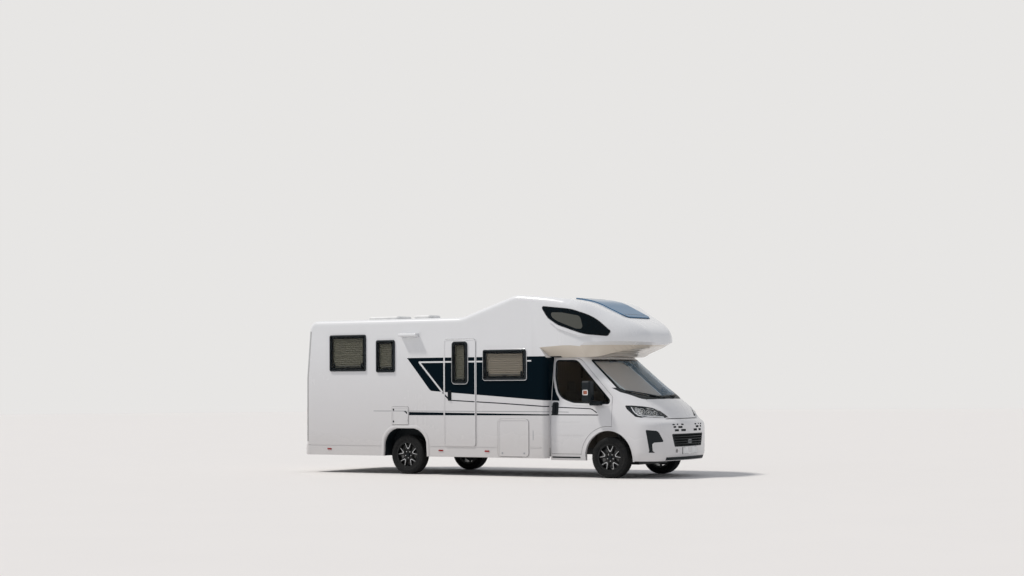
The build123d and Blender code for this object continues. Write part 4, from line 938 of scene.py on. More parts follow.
def window(name, spec, body, base=0.0, rim=False, blind=shade_cloth):
    sign, rear, front, low, high, r = spec
    at = on_side(sign)
    outer = panel(rear, front, low, high, r, 8)
    surround = Parts().moulding(outer, [(d, w + base) for d, w in FRAME_SECTION], at)
    surround.piece(f"{name}_frame", black_plastic, body)
    sheet = Parts().prism(offset(outer, -29), base + 15, base + 19, at)
    sheet.piece(f"{name}_pane", window_acrylic, body, edge=0.001)
    inner = Parts()
    inner.moulding(outer, [(d, w + base) for d, w in BORDER_SECTION], at)
    latches = [((rear + front) / 2, low + 62, 44, 15)]
    if front - rear > 500:
        latches += [(rear + 92, low + 104, 16, 44), (front - 92, low + 104, 16, 44)]
    for u, v, wide, tall in latches:
        inner.prism(panel(u - wide, u + wide, v - tall, v + tall, 10, 4), base + 3, base + 12, at)
        inner.prism(panel(u - 9, u + 9, v - 9, v + 9, 8, 4), base - 6, base + 4, at)
    inner.piece(f"{name}_border", gloss_black, body, edge=0.001)
    window_blind(name, rear + 60, front - 60, low + 58, high - 58, base, at, blind, body)
    if rim:
        lip = Parts().moulding(outer, [(d, w + base) for d, w in RIM_SECTION], at)
        lip.piece(f"{name}_rim", line_white, body)


def windows():
    for name, spec in WINDOWS.items():
        banded = name.startswith(("dinette", "kitchen"))
        window(name, spec, "motorhome", rim=banded, blind=blind_cloth if banded else shade_cloth)
    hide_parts("side_windows")
    window("entry_window", ENTRY_WINDOW, "entry_door_body", base=10.0, rim=True)
    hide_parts("entry_door_window")


windows()


# Doors and hatches in the house walls
SEAL_SECTION = [(2, -14), (3, -2), (1, 1), (0.2, -2), (0.2, -14)]
ENTRY_FRAME_SECTION = [(11, 0), (10, 5), (5, 7), (0.5, 7), (0.5, -20)]
HATCH_FRAME_SECTION = [(8, 0), (7, 4), (3, 6), (0.5, 6), (0.5, -20)]
LOCK_SECTION = [(0, -1), (17, -1), (17, 2.4), (15, 4), (11, 4), (9, 2.4), (0, 2.4)]
HANDLE_PIN_SECTION = [(0, -4), (11, -4), (11, 3), (5, 3.4), (0, 3.4)]


# Raised edge of a door leaf, from its outline inward
def ledge(width, height, base):
    top = base + height
    return [(0, base - 2), (0, base + height * 0.6), (-3, top), (3 - width, top), (-width, base - 2)]


def entry_door():
    at, body = on_side(-1), "entry_door_body"
    outline = panel(-3203, -2551, 508, 2369, 54, 10)
    Parts().moulding(outline, ledge(19, 5, 10), at).piece("entry_door_edge", body_white, body)
    wall_lip = Parts().moulding(panel(-3209, -2545, 502, 2375, 60, 10), ENTRY_FRAME_SECTION, at)
    wall_lip.piece("entry_frame", body_white)
    Parts().moulding(outline, SEAL_SECTION, at).piece("entry_door_seal", seal_rubber, body)
    plate = Parts().prism(panel(-3126, -3050, 1296, 1478, 26, 8), 9.6, 16, at)
    plate.prism(panel(-3118, -3058, 1312, 1420, 22, 8), 16, 19, at)
    plate.piece("entry_handle_plate", black_plastic, body, edge=0.002)
    lever = Parts().prism(panel(-3104, -3072, 1322, 1466, 15, 6), 24, 36, at)
    lever.prism(panel(-3102, -3074, 1436, 1464, 12, 6), 14, 26, at)
    lever.turned(HANDLE_PIN_SECTION, at(-3088, 1310, 16), (0, -1, 0), 20)
    lever.piece("entry_handle_lever", gloss_black, body, edge=0.003)


def hatch(name, spec, body, width, locks, hinges):
    sign, rear, front, low, high, r = spec
    at = on_side(sign)
    edge = panel(rear + 6, front - 6, low + 6, high - 6, r - 6, 10)
    Parts().moulding(edge, ledge(width, 5, 6), at).piece(name + "_edge", body_white, body)
    lip = Parts().moulding(panel(rear, front, low, high, r, 10), HATCH_FRAME_SECTION, at)
    lip.piece(name + "_frame", body_white)
    Parts().moulding(edge, SEAL_SECTION, at).piece(name + "_seal", seal_rubber, body)
    knobs = Parts()
    for u, v in locks:
        knobs.turned(LOCK_SECTION, at(u, v, 6), (0, sign, 0), 28)
        knobs.prism(panel(u - 1.5, u + 1.5, v - 6, v + 6, 1, 2), 8, 9.2, at)
    lock_finish = black_plastic if name == "cassette" else grey_plastic
    knobs.piece(name + "_locks", lock_finish, body, "black_plastic")
    bars = Parts()
    for u, v, wide, tall in hinges:
        bars.prism(panel(u - wide, u + wide, v - tall, v + tall, min(wide, tall) * 0.8, 4), 5, 11, at)
    if hinges:
        bars.piece(name + "_hinges", pale_plastic, body, edge=0.0015)


def hatches():
    hatch("locker", (-1, -2106, -1478, 337, 988, 70), "locker_body", 24, [(-2010, 400), (-1574, 400)], [])
    hatch("cassette", (-1, -4325, -3962, 869, 1199, 30), "cassette_body", 22, [(-4286, 1140), (-4286, 930)],
          [(-3990, 1120, 10, 26), (-3990, 950, 10, 26)])
    hatch("garage", (1, -5900, -4950, 620, 1560, 60), "garage_body", 24, [(-5850, 1300), (-5850, 860)],
          [(-4984, 1380, 12, 34), (-4984, 800, 12, 34)])


entry_door()
hatches()


# Sections along the rear wheel arch
ARCH_LIP_SECTION = [(-3, -30), (-3, 4), (0, 9), (6, 11), (40, 9), (50, 3), (50, 0), (2, 0), (2, -30)]
ARCH_LINER_SECTION = [(-2, -320), (-2, -6), (3, -6), (3, -320)]
# Stretches of the rail over the skirts, parted by the locker on the right
SKIRT_RAILS = {
    "right": [(-6120, -4560), (-3512, -2110), (-1474, -1250)],
    "left": [(-6120, -4560), (-3512, -1250)],
}


def wall_fittings():
    arch = rounded_outline([(-464, 320, 0), (-440, 812, 320), (440, 812, 320), (464, 320, 0)], 16)
    arch = [(u - WHEELBASE, v) for u, v in arch]
    for side, sign in SIDES:
        at = on_side(sign)
        lip = Parts().moulding(arch, ARCH_LIP_SECTION, at, closed=False)
        lip.piece("rear_arch_lip_" + side, body_white)
        liner = Parts().moulding(arch, ARCH_LINER_SECTION, at, closed=False)
        liner.piece("rear_arch_liner_" + side, black_plastic)
        rail = Parts()
        for u0, u1 in SKIRT_RAILS[side]:
            corners = [(u0, 499, 4), (u1, 499, 4), (u1, 514, 5), (u0, 514, 5)]
            rail.prism(rounded_outline(corners, 3), 0, 5.5, at)
        rail.piece("skirt_rail_" + side, body_white, edge=0.001)
        markers = Parts()
        for u in (-5700, -3280, -2325):
            markers.prism(panel(u - 48, u + 48, 415, 441, 11, 5), 0, 9, at)
        markers.piece("side_markers_" + side, lamp_red, edge=0.003)
        recess = Parts().prism(panel(-1404, -1392, 626, 792, 5, 4), 0, 2, at)
        recess.piece("wall_slot_" + side, grey_plastic, edge=0.0006)
    at = on_side(-1)
    glow = Parts().prism(panel(-4090, -3767, -4, 4, 3, 3), -60, -6, lambda u, v, w: at(u, 2415 + v, -w))
    glow.piece("awning_lamp_lens", lamp_clear, edge=0.001)
    step = Parts().prism(panel(-3160, -2590, 452, 488, 8, 4), -260, -22, at)
    for k in range(7):
        step.prism(panel(-3150, -2600, 488, 492, 1, 2), -250 + k * 32, -238 + k * 32, at)
    step.piece("entry_step", grey_plastic, edge=0.003)


wall_fittings()


# Wheels
WHEELS = {
    "front_right": (0.0, -905.0), "front_left": (0.0, 905.0),
    "rear_right": (-WHEELBASE, -990.0), "rear_left": (-WHEELBASE, 990.0),
}
# Radius of the tread, depth of its grooves, and how often the pattern comes again round the tyre
TREAD_R = 344.6
GROOVE = 9.0
PITCHES = 66
# Sidewall of the tyre from the bead to the shoulder: radius, distance from the middle plane
SIDEWALL = [
    (219, 80), (226, 90), (234, 93.5), (240, 95), (243, 99.5), (247, 100.5), (252, 98.5), (262, 103),
    (276, 106.4), (288, 107.2), (300, 105.5), (312, 101.5), (314, 102.6), (319, 100.6), (321, 99),
    (330, 92.5), (339, 85.5),
]
# Half width of the tread and how much deeper the shoulder lies between its blocks
TREAD_HALF = 83.0
SHOULDER_NOTCH = 7
# Distances across the tread and what stands there: 0 groove, 1 shoulder, 2 middle blocks, 3 centre rib
RIBS = [
    (-83, 1), (-56, 1), (-53, 0), (-47, 0), (-44, 2), (-20, 2), (-17, 0), (-11, 0), (-8, 3),
    (8, 3), (11, 0), (17, 0), (20, 2), (44, 2), (47, 0), (53, 0), (56, 1), (83, 1),
]
# Stretches of one pitch: share of the pitch, whether the shoulder and the middle blocks stand there
PHASES = [
    (0.0, 1, 1), (0.30, 1, 1), (0.34, 1, 0), (0.46, 1, 0),
    (0.50, 1, 1), (0.76, 1, 1), (0.80, 0, 1), (0.96, 0, 1),
]
# Turned sections: radius, distance along the axle from the hub's middle
BOLT_SECTION = [(0, 0), (11.5, 0), (11.5, 3), (10.4, 4), (10.4, 15), (8.5, 17), (4, 17.6), (0, 17.6)]
CAP_SECTION = [
    (0, 80), (27, 80), (29.5, 82), (29.5, 84), (26, 85.4), (24, 84.4), (22, 84.4), (12, 86), (0, 86.6),
]
RIM_EDGE_SECTION = [(213, 80), (217, 93), (224, 95.2), (229, 94), (229, 90), (222, 86), (216, 78)]
DISC_SECTION = [(80, 24.2), (149, 24.2), (149, 26.4), (82, 26.4), (70, 28.6), (62, 28.6), (62, 24.2)]
SHIELD_SECTION = [(64, 14), (180, 14), (188, 20), (188, 22), (179, 16), (64, 16), (64, 14)]
# One bright face of a spoke: outline (radius, side) and half its width at each point
SPOKE_PATH = [(208, 63), (150, 36), (122, 20), (108, 9), (108, -9), (122, -20), (150, -36), (208, -63)]
SPOKE_HALF = [3.6, 4.2, 6, 7.6, 7.6, 6, 4.2, 3.6]
# Radii of the brake caliper
CALIPER_OUTER, CALIPER_INNER = 172, 112


def tyre(place, centre, sign, body):
    d, y = centre
    rings = []
    for pitch in range(PITCHES):
        for share, shoulder, middle in PHASES:
            turn = 2 * math.pi * (pitch + share) / PITCHES
            (last_r, last_w), standing = SIDEWALL[-1], {0: 0, 1: shoulder, 2: middle, 3: 1}
            flank = SIDEWALL[:-1] + [(last_r - (0 if shoulder else SHOULDER_NOTCH), last_w)]
            section = [(r, -w) for r, w in flank]
            for w, rib in RIBS:
                crown = TREAD_R - 2.2 * (w / TREAD_HALF) ** 2
                section.append((crown - (0 if standing[rib] else GROOVE), w))
            section += reversed(flank)
            turns = []
            for r, w in section:
                skew = 0.35 * abs(w) / TREAD_HALF * 2 * math.pi / PITCHES if r > 325 else 0.0
                turns.append(turn + skew)
            rings.append([(r * math.cos(t), r * math.sin(t), w) for (r, w), t in zip(section, turns)])
    n, m = len(rings), len(rings[0])
    verts = [Vector((station(d) + a / 1000, (y + sign * w) / 1000, (HUB_Z + b) / 1000))
             for ring in rings for a, b, w in ring]
    faces = [(i * m + k, ((i + 1) % n) * m + k, ((i + 1) % n) * m + (k + 1) % m, i * m + (k + 1) % m)
             for i in range(n) for k in range(m)]
    piece = mesh_piece("tyre_tread_" + place, verts, faces, tyre_rubber, body)
    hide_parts("tyre_" + place)


def wheel_trim(place, hub, sign, body):
    look = Vector((0, sign, 0))

    def at(u, v, w):
        return hub + Vector((-sign * u, 0, v)) / 1000 + look * (w / 1000)

    bright = Parts()
    for k in range(5):
        a = math.radians(90 + 72 * k)
        out, side = Vector((math.cos(a), math.sin(a))), Vector((-math.sin(a), math.cos(a)))
        line = [out * r + side * t for r, t in SPOKE_PATH]
        outs = outward([tuple(p) for p in line], closed=False)
        edge = [tuple(p + o * h) for p, o, h in zip(line, outs, SPOKE_HALF)]
        back = [tuple(p - o * h) for p, o, h in zip(line, outs, SPOKE_HALF)]
        n = len(line)
        verts = [at(u, v, w) for w in (77.5, 79.5) for u, v in edge + back]
        faces = []
        for i in range(n - 1):
            faces += [(i, i + 1, n + i + 1, n + i), (2 * n + i, 3 * n + i, 3 * n + i + 1, 2 * n + i + 1)]
            faces += [(i, 2 * n + i, 2 * n + i + 1, i + 1), (n + i, n + i + 1, 3 * n + i + 1, 3 * n + i)]
        faces += [(0, n, 3 * n, 2 * n), (n - 1, 3 * n - 1, 4 * n - 1, 2 * n - 1)]
        bright.add(verts, faces)
    bright.piece("wheel_faces_" + place, machined_alloy, body, edge=0.0006)
    bolts = Parts()
    for k in range(5):
        a = math.radians(126 + 72 * k)
        middle = at(59 * math.cos(a), 59 * math.sin(a), 57)
        bolts.turned(BOLT_SECTION, middle, look, 6)
    bolts.piece("wheel_bolts_" + place, machined_alloy, body, edge=0.0005)
    Parts().turned(CAP_SECTION, hub, look, 40).piece("wheel_cap_" + place, gloss_black, body)
    Parts().turned(RIM_EDGE_SECTION, hub, look, 96).piece("rim_edge_" + place, rim_black, body)
    stem = Parts().tube([at(0, -203, 60), at(0, -201, 74), at(0, -197, 86)], 0.004, 10)
    stem.tube([at(0, -197.4, 85), at(0, -195, 93)], 0.0055, 10)
    stem.piece("valve_" + place, black_plastic, body)


def brake(place, hub, sign, body):
    look = Vector((0, sign, 0))
    Parts().turned(DISC_SECTION, hub, look, 72).piece("brake_disc_" + place, disc_steel, body)
    Parts().turned(SHIELD_SECTION, hub, look, 72).piece("brake_shield_" + place, chassis_steel, body)
    outer = [(CALIPER_OUTER, math.radians(140 + 80 * k / 12)) for k in range(13)]
    inner = [(CALIPER_INNER, math.radians(220 - 80 * k / 12)) for k in range(13)]
    outline = [(r * math.cos(a), r * math.sin(a)) for r, a in outer + inner]

    def at(u, v, w):
        return hub + Vector((u, 0, v)) / 1000 + look * (w / 1000)

    Parts().prism(outline, 26.6, 36.0, at).piece("brake_caliper_" + place, engine_metal, body, edge=0.003)


def wheels():
    for place, (d, y) in WHEELS.items():
        sign = -1 if "right" in place else 1
        hub = Vector((station(d), y / 1000, HUB_Z / 1000))
        tyre(place, (d, y), sign, "wheel_" + place)
        wheel_trim(place, hub, sign, "wheel_" + place)
        brake(place, hub, sign, "motorhome" if "rear" in place else "steer_" + place.split("_")[1])


wheels()


# Cab outside
CAB_WINDOW = [
    (-1094, 1984, 60), (-1082, 1690, 600), (-985, 1352, 280), (-700, 1262, 300),
    (-10, 1240, 34), (4, 1308, 50), (-682, 1984, 190),
]
WINDSCREEN = [
    (-835, 1994, 50), (835, 1994, 50), (908, 1494, 50), (800, 1402, 200),
    (430, 1338, 600), (-430, 1338, 600), (-800, 1402, 200), (-908, 1494, 50),
]
# Middle (station, height) and radius of the front wheel arch
ARCH_CENTRE, ARCH_R = (-15.0, 345.0), 449
FRONT_LIP_SECTION = [(2, -30), (2, 1), (6, 4), (22, 4), (30, 1.5), (32, -1), (6, -3)]


def cab_side(sign, *names):
    return on_surface(names, (station(0), 0, 0), (1, 0, 0), (0, sign, 0))


def cab_front(*names):
    return on_surface(names, (0, 0, 0), (0, 1, 0), (1, 0, 0))


def cab_doors():
    edge = placed(rounded_outline(CAB_WINDOW, 10))
    for side, sign in SIDES:
        door, glass, body = "cab_door_" + side, "cab_door_glass_" + side, f"cab_door_{side}_body"
        look = (0, sign, 0)
        ring = band(edge, 0.006, 0.044)
        skin("cab_window_ring_" + side, door, ring, look, cab_white, 0.005, edge=0.0018)
        skin("cab_window_seal_" + side, door, band(edge, 0.0, 0.006), look, seal_rubber, 0.003)
        skin("cab_window_edge_" + side, glass, band(edge, -0.020, -0.001), look, gloss_black, 0.0008)
        at = cab_side(sign, door)
        handle = Parts().prism(panel(-1104, -984, 1052, 1272, 34, 8), -2, 9, at)
        handle.prism(panel(-1090, -998, 1070, 1254, 26, 8), 9, 12, at)
        handle.piece("cab_handle_" + side, black_plastic, body, edge=0.003)
        grip = Parts().prism(panel(-1062, -1026, 1078, 1246, 17, 6), 17, 30, at)
        grip.prism(panel(-1060, -1028, 1084, 1112, 12, 5), 10, 19, at)
        grip.prism(panel(-1060, -1028, 1212, 1240, 12, 5), 10, 19, at)
        grip.piece("cab_handle_grip_" + side, gloss_black, body, edge=0.004)
        crease = Parts()
        for u0, u1, v0, v1 in ((-1116, -480, 712, 716), (-1116, -560, 936, 939)):
            crease.prism(panel(u0, u1, v0, v1, 1, 2), -1, 2.2, at)
        crease.piece("cab_door_crease_" + side, cab_white, body, edge=0.001)
        sill = cab_side(sign, "cab_frame", "front_wings", "cab_floor")
        step = Parts().prism(panel(-1110, -560, 326, 352, 8, 4), -18, 4, sill)
        step.piece("cab_step_strip_" + side, black_plastic, edge=0.003)
        mirror(side, sign, body)


# Stations of the mirror's back and front, and how far out its side stands
MIRROR_BACK, MIRROR_FRONT = -365.0, -215.0
MIRROR_SIDE = 1285


def mirror(side, sign, body):
    def at(u, v, w):
        return Vector((station(MIRROR_BACK - w), sign * u / 1000, v / 1000))

    def ahead(u, v, w):
        return Vector((station(MIRROR_FRONT + w), sign * u / 1000, v / 1000))

    def beside(u, v, w):
        return Vector((station(u), sign * (MIRROR_SIDE + w) / 1000, v / 1000))

    bezel = Parts()
    glass = Parts()
    for low, high, r in ((1424, 1612, 30), (1292, 1404, 24)):
        outline = panel(1134, 1271, low, high, r, 8)
        bezel.moulding(outline, [(0, -4), (0, 2), (4, 3), (8, 3), (8, -4)], at)
        glass.prism(outline, -4, 0.6, at)
    bezel.piece("mirror_bezel_" + side, black_plastic, body)
    glass.piece("mirror_glass_" + side, mirror_silver, body, edge=0.001)
    repeater = Parts().prism(panel(-340, -262, 1402, 1468, 14, 6), -3, 0.5, beside)
    repeater.piece("mirror_repeater_" + side, lamp_amber, body, edge=0.002)
    patch = Parts().prism(panel(-352, -250, 1390, 1480, 18, 6), -4, 0.25, beside)
    patch.piece("mirror_repeater_base_" + side, pale_plastic, body, edge=0.001)
    seam = Parts()
    outline = panel(1128, 1277, 1276, 1622, 38, 6)
    seam.moulding(outline, [(-3, -42), (-3, -36), (8.6, -36), (8.6, -42)], at)
    seam.piece("mirror_seam_" + side, gloss_black, body)
    cover = Parts().prism(panel(1150, 1256, 1300, 1400, 20, 6), -2, 1.5, ahead)
    cover.piece("mirror_front_cover_" + side, gloss_black, body, edge=0.003)


cab_doors()


def front_arches():
    turns = [math.radians(188 - 196 * k / 48) for k in range(49)]
    arc = [(ARCH_CENTRE[0] + ARCH_R * math.cos(a), ARCH_CENTRE[1] + ARCH_R * math.sin(a)) for a in turns]
    for side, sign in SIDES:
        at = cab_side(sign, "front_wings", "front_bumper", "cab_door_" + side, "cab_frame")
        lip = Parts().moulding(arc, FRONT_LIP_SECTION, at, closed=False)
        lip.piece("front_arch_lip_" + side, cab_white)


front_arches()

# Head lamps. The line along the lens starts at this station and width, and slants back by this angle
HEAD_AT = (720.0, 820.0)
SLANT = math.radians(27.5)
# Outlines in that line: along, height, radius. The bowls have along, height and their own radius
HEADLAMP = [
    (-460, 1216, 12), (-352, 1216, 60), (-161, 1201, 300), (17, 1170, 200), (132, 1105, 60),
    (250, 1004, 8), (-136, 1022, 40), (-187, 1013, 60), (-285, 1028, 60), (-428, 1154, 60),
]
LAMP_CORNER = [
    (-452, 1208, 10), (-372, 1208, 30), (-330, 1120, 40), (-262, 1050, 30), (-196, 1024, 8),
    (-285, 1034, 30), (-424, 1152, 40),
]
BOWLS = [(-180, 1114, 52), (-66, 1100, 44), (36, 1080, 36)]
BLADE = [(-330, 1192), (-160, 1180), (14, 1148), (120, 1086), (196, 1030)]
BOW = [
    (-352, 1190), (-326, 1140), (-290, 1092), (-236, 1056),
    (-170, 1042), (-60, 1038), (60, 1030), (186, 1018),
]


def headlamps():
    outline = rounded_outline(HEADLAMP, 6)
    quarter = [math.pi / 2 * k / 6 for k in range(7)]
    for side, sign in SIDES:
        along = (math.cos(SLANT), -sign * math.sin(SLANT), 0)
        out = (math.sin(SLANT), sign * math.cos(SLANT), 0)
        at = on_surface(("headlamps",), (station(HEAD_AT[0]), sign * HEAD_AT[1] / 1000, 0), along, out)
        rim = Parts().moulding(outline, [(-1, -36), (-1, 0.6), (-14, 0.9), (-15, -36)], at)
        rim.piece("headlamp_rim_" + side, gloss_black)
        Parts().prism(offset(outline, -4), -39, -37, at).piece("headlamp_housing_" + side, lamp_housing)
        corner = Parts().prism(rounded_outline(LAMP_CORNER, 5), -20, -12, at)
        corner.piece("headlamp_corner_" + side, gloss_black, edge=0.002)
        bright = Parts()
        for u, v, r in BOWLS:
            bright.moulding(circle(u, v, r, 28), [(0, -36), (0, -12), (-5, -10), (-14, -34)], at)
            bright.prism(circle(u, v, (r - 22) * 0.8, 20), -36, -14, at)
        bright.prism(offset_line(BLADE, 6), -30, -10, at)
        bright.piece("headlamp_reflectors_" + side, lamp_reflector, edge=0.001)
        guide = Parts().prism(offset_line(BOW, 8), -28, -9, at)
        for k in range(5):
            u = -296 + k * 20
            top, low = 1176 - k * 3, 1080 - k * 4
            guide.prism([(u, top), (u + 7, top), (u + 40, low), (u + 33, low)], -32, -14, at)
        guide.piece("headlamp_light_guide_" + side, light_guide, edge=0.001)
        lenses = Parts()
        for u, v, bowl in BOWLS:
            dome = [(bowl * 0.5 * math.cos(t), 10 * math.sin(t)) for t in quarter]
            lenses.turned(dome, at(u, v, -14), out, 28)
        lenses.piece("headlamp_projectors_" + side, dark_glass)


headlamps()


# Openings of the bumper on one side: width from the middle, height, wide, tall
PORTS = [
    (505, 893, 66, 22), (392, 896, 46, 20), (244, 892, 78, 24), (480, 852, 74, 30),
    (316, 848, 132, 34), (428, 796, 118, 36), (220, 796, 150, 38),
]
# Stations of the back, the face and the number plate of the plate holder
PLATE_BACK, PLATE_FACE, PLATE_FRONT = 978, 994, 997.5
TOW_PLUG_SECTION = [(0, -26), (25, -26), (25, -20), (21, -18), (0, -18)]


# Maps (width, height, millimetres along X) to the row frame
def facing_front(u, v, w):
    return Vector((w, u, v)) / 1000


# Plane that touches the bumper round an opening in it
def port_map(y, z, wide, tall):
    skin_of = cab_front("front_bumper")
    du, dv = wide / 2 + 4, tall / 2 + 4
    corners = {(i, j): skin_of(y + i * du, z + j * dv, 0).x for i in (-1, 1) for j in (-1, 1)}
    middle = sum(corners.values()) / 4
    across = sum(i * x for (i, j), x in corners.items()) / 4 / du
    up = sum(j * x for (i, j), x in corners.items()) / 4 / dv
    return lambda u, v, w: Vector((middle + (u - y) * across + (v - z) * up + w / 1000, u / 1000, v / 1000))


def front_end():
    at = cab_front("front_bumper", "front_grilles", "bonnet")
    opening = rounded_outline([(-572, 738, 20), (572, 738, 20), (495, 522, 30), (-495, 522, 30)], 6)
    grille = cab_front("front_grilles")
    surround = Parts().moulding(opening, [(-3, -14), (-3, -2), (-16, 0), (-20, -2), (-20, -14)], grille)
    surround.plank(-508, 508, 588, 612, -10, 0, grille)
    surround.piece("grille_frame", black_plastic, edge=0.0015)
    centre = Parts().prism(panel(-62, 62, 560, 640, 20, 8), -10, 0, grille)
    centre.piece("grille_centre_panel", grille_grey, slot="black_plastic", edge=0.004)
    mesh = Parts()
    for k in range(64):
        y = -540 + 1080 * k / 63
        mesh.box((station(905), y / 1000 - 0.0022, 0.528), (station(911), y / 1000 + 0.0022, 0.732))
    for k in range(12):
        z = 536 + 17.2 * k
        mesh.box((station(900), -0.545, (z - 2) / 1000), (station(905), 0.545, (z + 2) / 1000))
    mesh.piece("grille_mesh", black_plastic)
    ports = Parts()
    for y, z, wide, tall in PORTS:
        for u in (-y, y):
            plane = port_map(u, z, wide, tall)
            hole = panel(u - wide / 2 + 0.6, u + wide / 2 - 0.6, z - tall / 2 + 0.6, z + tall / 2 - 0.6, 3, 2)
            ports.prism(hole, -24, -14, plane)
            ports.moulding(hole, [(0, -16), (0, -2.5), (-3, -2.5), (-3, -16)], plane)
    ports.piece("port_backs", black_plastic, edge=0.0005)
    back, face, front = [station(d) * 1000 for d in (PLATE_BACK, PLATE_FACE, PLATE_FRONT)]
    plate = Parts().prism(panel(-262, 262, 398, 512, 10, 6), back, face, facing_front)
    plate.piece("front_plate_holder", black_plastic, edge=0.002)
    blank = Parts().prism(panel(-258, 258, 402, 508, 8, 6), face, front, facing_front)
    blank.piece("front_number_plate", plate_white, edge=0.0012)
    lip = Parts().plank(-690, 690, 300, 352, -10, 4, cab_front("front_bumper"), 40)
    lip.piece("bumper_lower_lip", black_plastic, edge=0.002)
    strip = metres([(-585, 983), (585, 983), (585, 1004), (-585, 1004)])
    skin("bonnet_seal", "front_bumper", [strip], (1, 0, 0), seal_rubber, 0.0015)
    Parts().turned(TOW_PLUG_SECTION, at(-460, 458, 0), (1, 0, 0), 28).piece("tow_eye_plug", cab_white)


front_end()


# Start and end of each arm across the windscreen, and where its pivot stands: width, height
WIPERS = [((-250, 1350), (-560, 1412), (-250, 1348)), ((300, 1352), (180, 1370), (300, 1350))]
WIPER_STEPS = 8
PIVOT_SECTION = [(0, -10), (22, -10), (22, 14), (16, 22), (0, 24)]
# First and last width of each blind behind the windscreen and the pitch of its pleats
SCREEN_BLINDS = [(-790, -20, 21.0), (690, 790, 5.0)]


# Heights from the lower end of the blind behind the windscreen to its upper end
def blind_heights(u):
    low = 1372 + 80 * (abs(u) / 800) ** 3
    return [low + (1950 - low) * m / 6 for m in range(7)]


def windscreen_trim():
    edge = metres(rounded_outline(WINDSCREEN, 8))
    skin("windscreen_border", "windscreen", band(edge, -0.03, -0.001), (1, 0, 0), gloss_black, 0.0008)
    at = cab_front("windscreen", "cowl")
    camera = Parts().prism(panel(-75, 75, 1880, 1968, 20, 5), -14, -8, at)
    camera.piece("windscreen_sensor", black_plastic, edge=0.002)
    blinds, rails = Parts(), Parts()
    glass = cab_front("windscreen")
    for first, last, pitch in SCREEN_BLINDS:
        count = round((last - first) / pitch)
        columns = []
        for k in range(count + 1):
            u = first + (last - first) * k / count
            columns.append([(u, v, -44 - 9 * (k % 2)) for v in blind_heights(u)])
        blinds.slab(*[[[glass(u, v, w - d) for u, v, w in column] for column in columns] for d in (0, 1.6)])
        for end in (first - 6, last + 6):
            rails.tube([glass(end, v, -50) for v in blind_heights(end)], 0.008, 8)
    blinds.piece("windscreen_blind", curtain_cloth)
    rails.piece("windscreen_blind_rails", pale_plastic)
    over = cab_front("windscreen", "cowl", "cab_frame", "bonnet")
    arms = Parts()
    for (y0, z0), (y1, z1), _ in WIPERS:
        points = []
        for k in range(WIPER_STEPS + 1):
            y, z = y0 + (y1 - y0) * k / WIPER_STEPS, z0 + (z1 - z0) * k / WIPER_STEPS
            points.append(over(y, z, 24 if k else 16))
        arms.tube(points, 0.008, 8)
    for _, _, (y, z) in WIPERS:
        arms.turned(PIVOT_SECTION, over(y, z, 0), (0.75, 0, 0.66), 20)
    arms.piece("wiper_arms", black_plastic, edge=0.001)


windscreen_trim()


# Alcove
ALCOVE_WINDOW = [
    (-1222, 2900, 24), (-650, 2840, 900), (-280, 2712, 900), (0, 2458, 24),
    (-40, 2384, 40), (-420, 2424, 900), (-900, 2588, 500), (-1100, 2716, 300),
]
ALCOVE_BLIND = [
    (-1030, 2794, 60), (-820, 2788, 150), (-480, 2724, 90), (-428, 2500, 70),
    (-560, 2512, 60), (-900, 2642, 200), (-1014, 2712, 100),
]
ROOFLIGHT = [(-935, -520), (55, -430), (55, 430), (-935, 520)]


# Quads of the raised lip below the eye shaped window, thin at both ends
def crescent(eye):
    def on_lip(u, v):
        top = min(2730, 2740 - (u + 1100) * 0.1, 2424 + 0.42 * max(0.0, -u - 40))
        return -1100 < u < -120 and v < top

    chosen = sorted([p for p in eye if on_lip(*p)], key=lambda p: p[0])
    inner, outer = [], []
    for j, (u, v) in enumerate(chosen):
        share = math.sin(math.pi * j / (len(chosen) - 1))
        inner.append((station(u - 4), (v - 14) / 1000))
        outer.append((station(u - 4 - 14 * share), (v - 14 - 46 * share - 1) / 1000))
    return [[inner[j], inner[j + 1], outer[j + 1], outer[j]] for j in range(len(chosen) - 1)]


def alcove_details():
    eye = rounded_outline(ALCOVE_WINDOW, 10)
    blind = placed(rounded_outline(ALCOVE_BLIND, 8))
    for side, sign in SIDES:
        look = (0, sign, 0)
        edge = band(placed(eye), 0.0005, 0.008)
        skin("alcove_window_seal_" + side, "alcove_shell", edge, look, seal_rubber, 0.004)
        skin("alcove_blind_" + side, "alcove_windows", [blind], look, alcove_blind, 0.0008, half=sign)
        skin("alcove_window_lip_" + side, "alcove_shell", crescent(eye), look, body_white, 0.022, edge=0.009)
    light = rounded_outline([(u, v, 90) for u, v in ROOFLIGHT], 8)
    pane_map = roof_map("alcove_rooflight", "alcove_shell")
    inner = Parts().moulding(light, [(-84, 0.2), (-84, 1.6), (-92, 1.6), (-92, 0.2)], pane_map)
    inner.piece("rooflight_inner_line", gloss_black)
    seal = Parts().moulding(light, [(0.5, -8), (0.5, 4), (7, 4), (9, -4)], roof_map("alcove_shell"))
    seal.piece("rooflight_seal", seal_rubber)


alcove_details()


# Inside the cab
# How far out the middle of each seat stands, in metres
SEAT_Y = 0.43


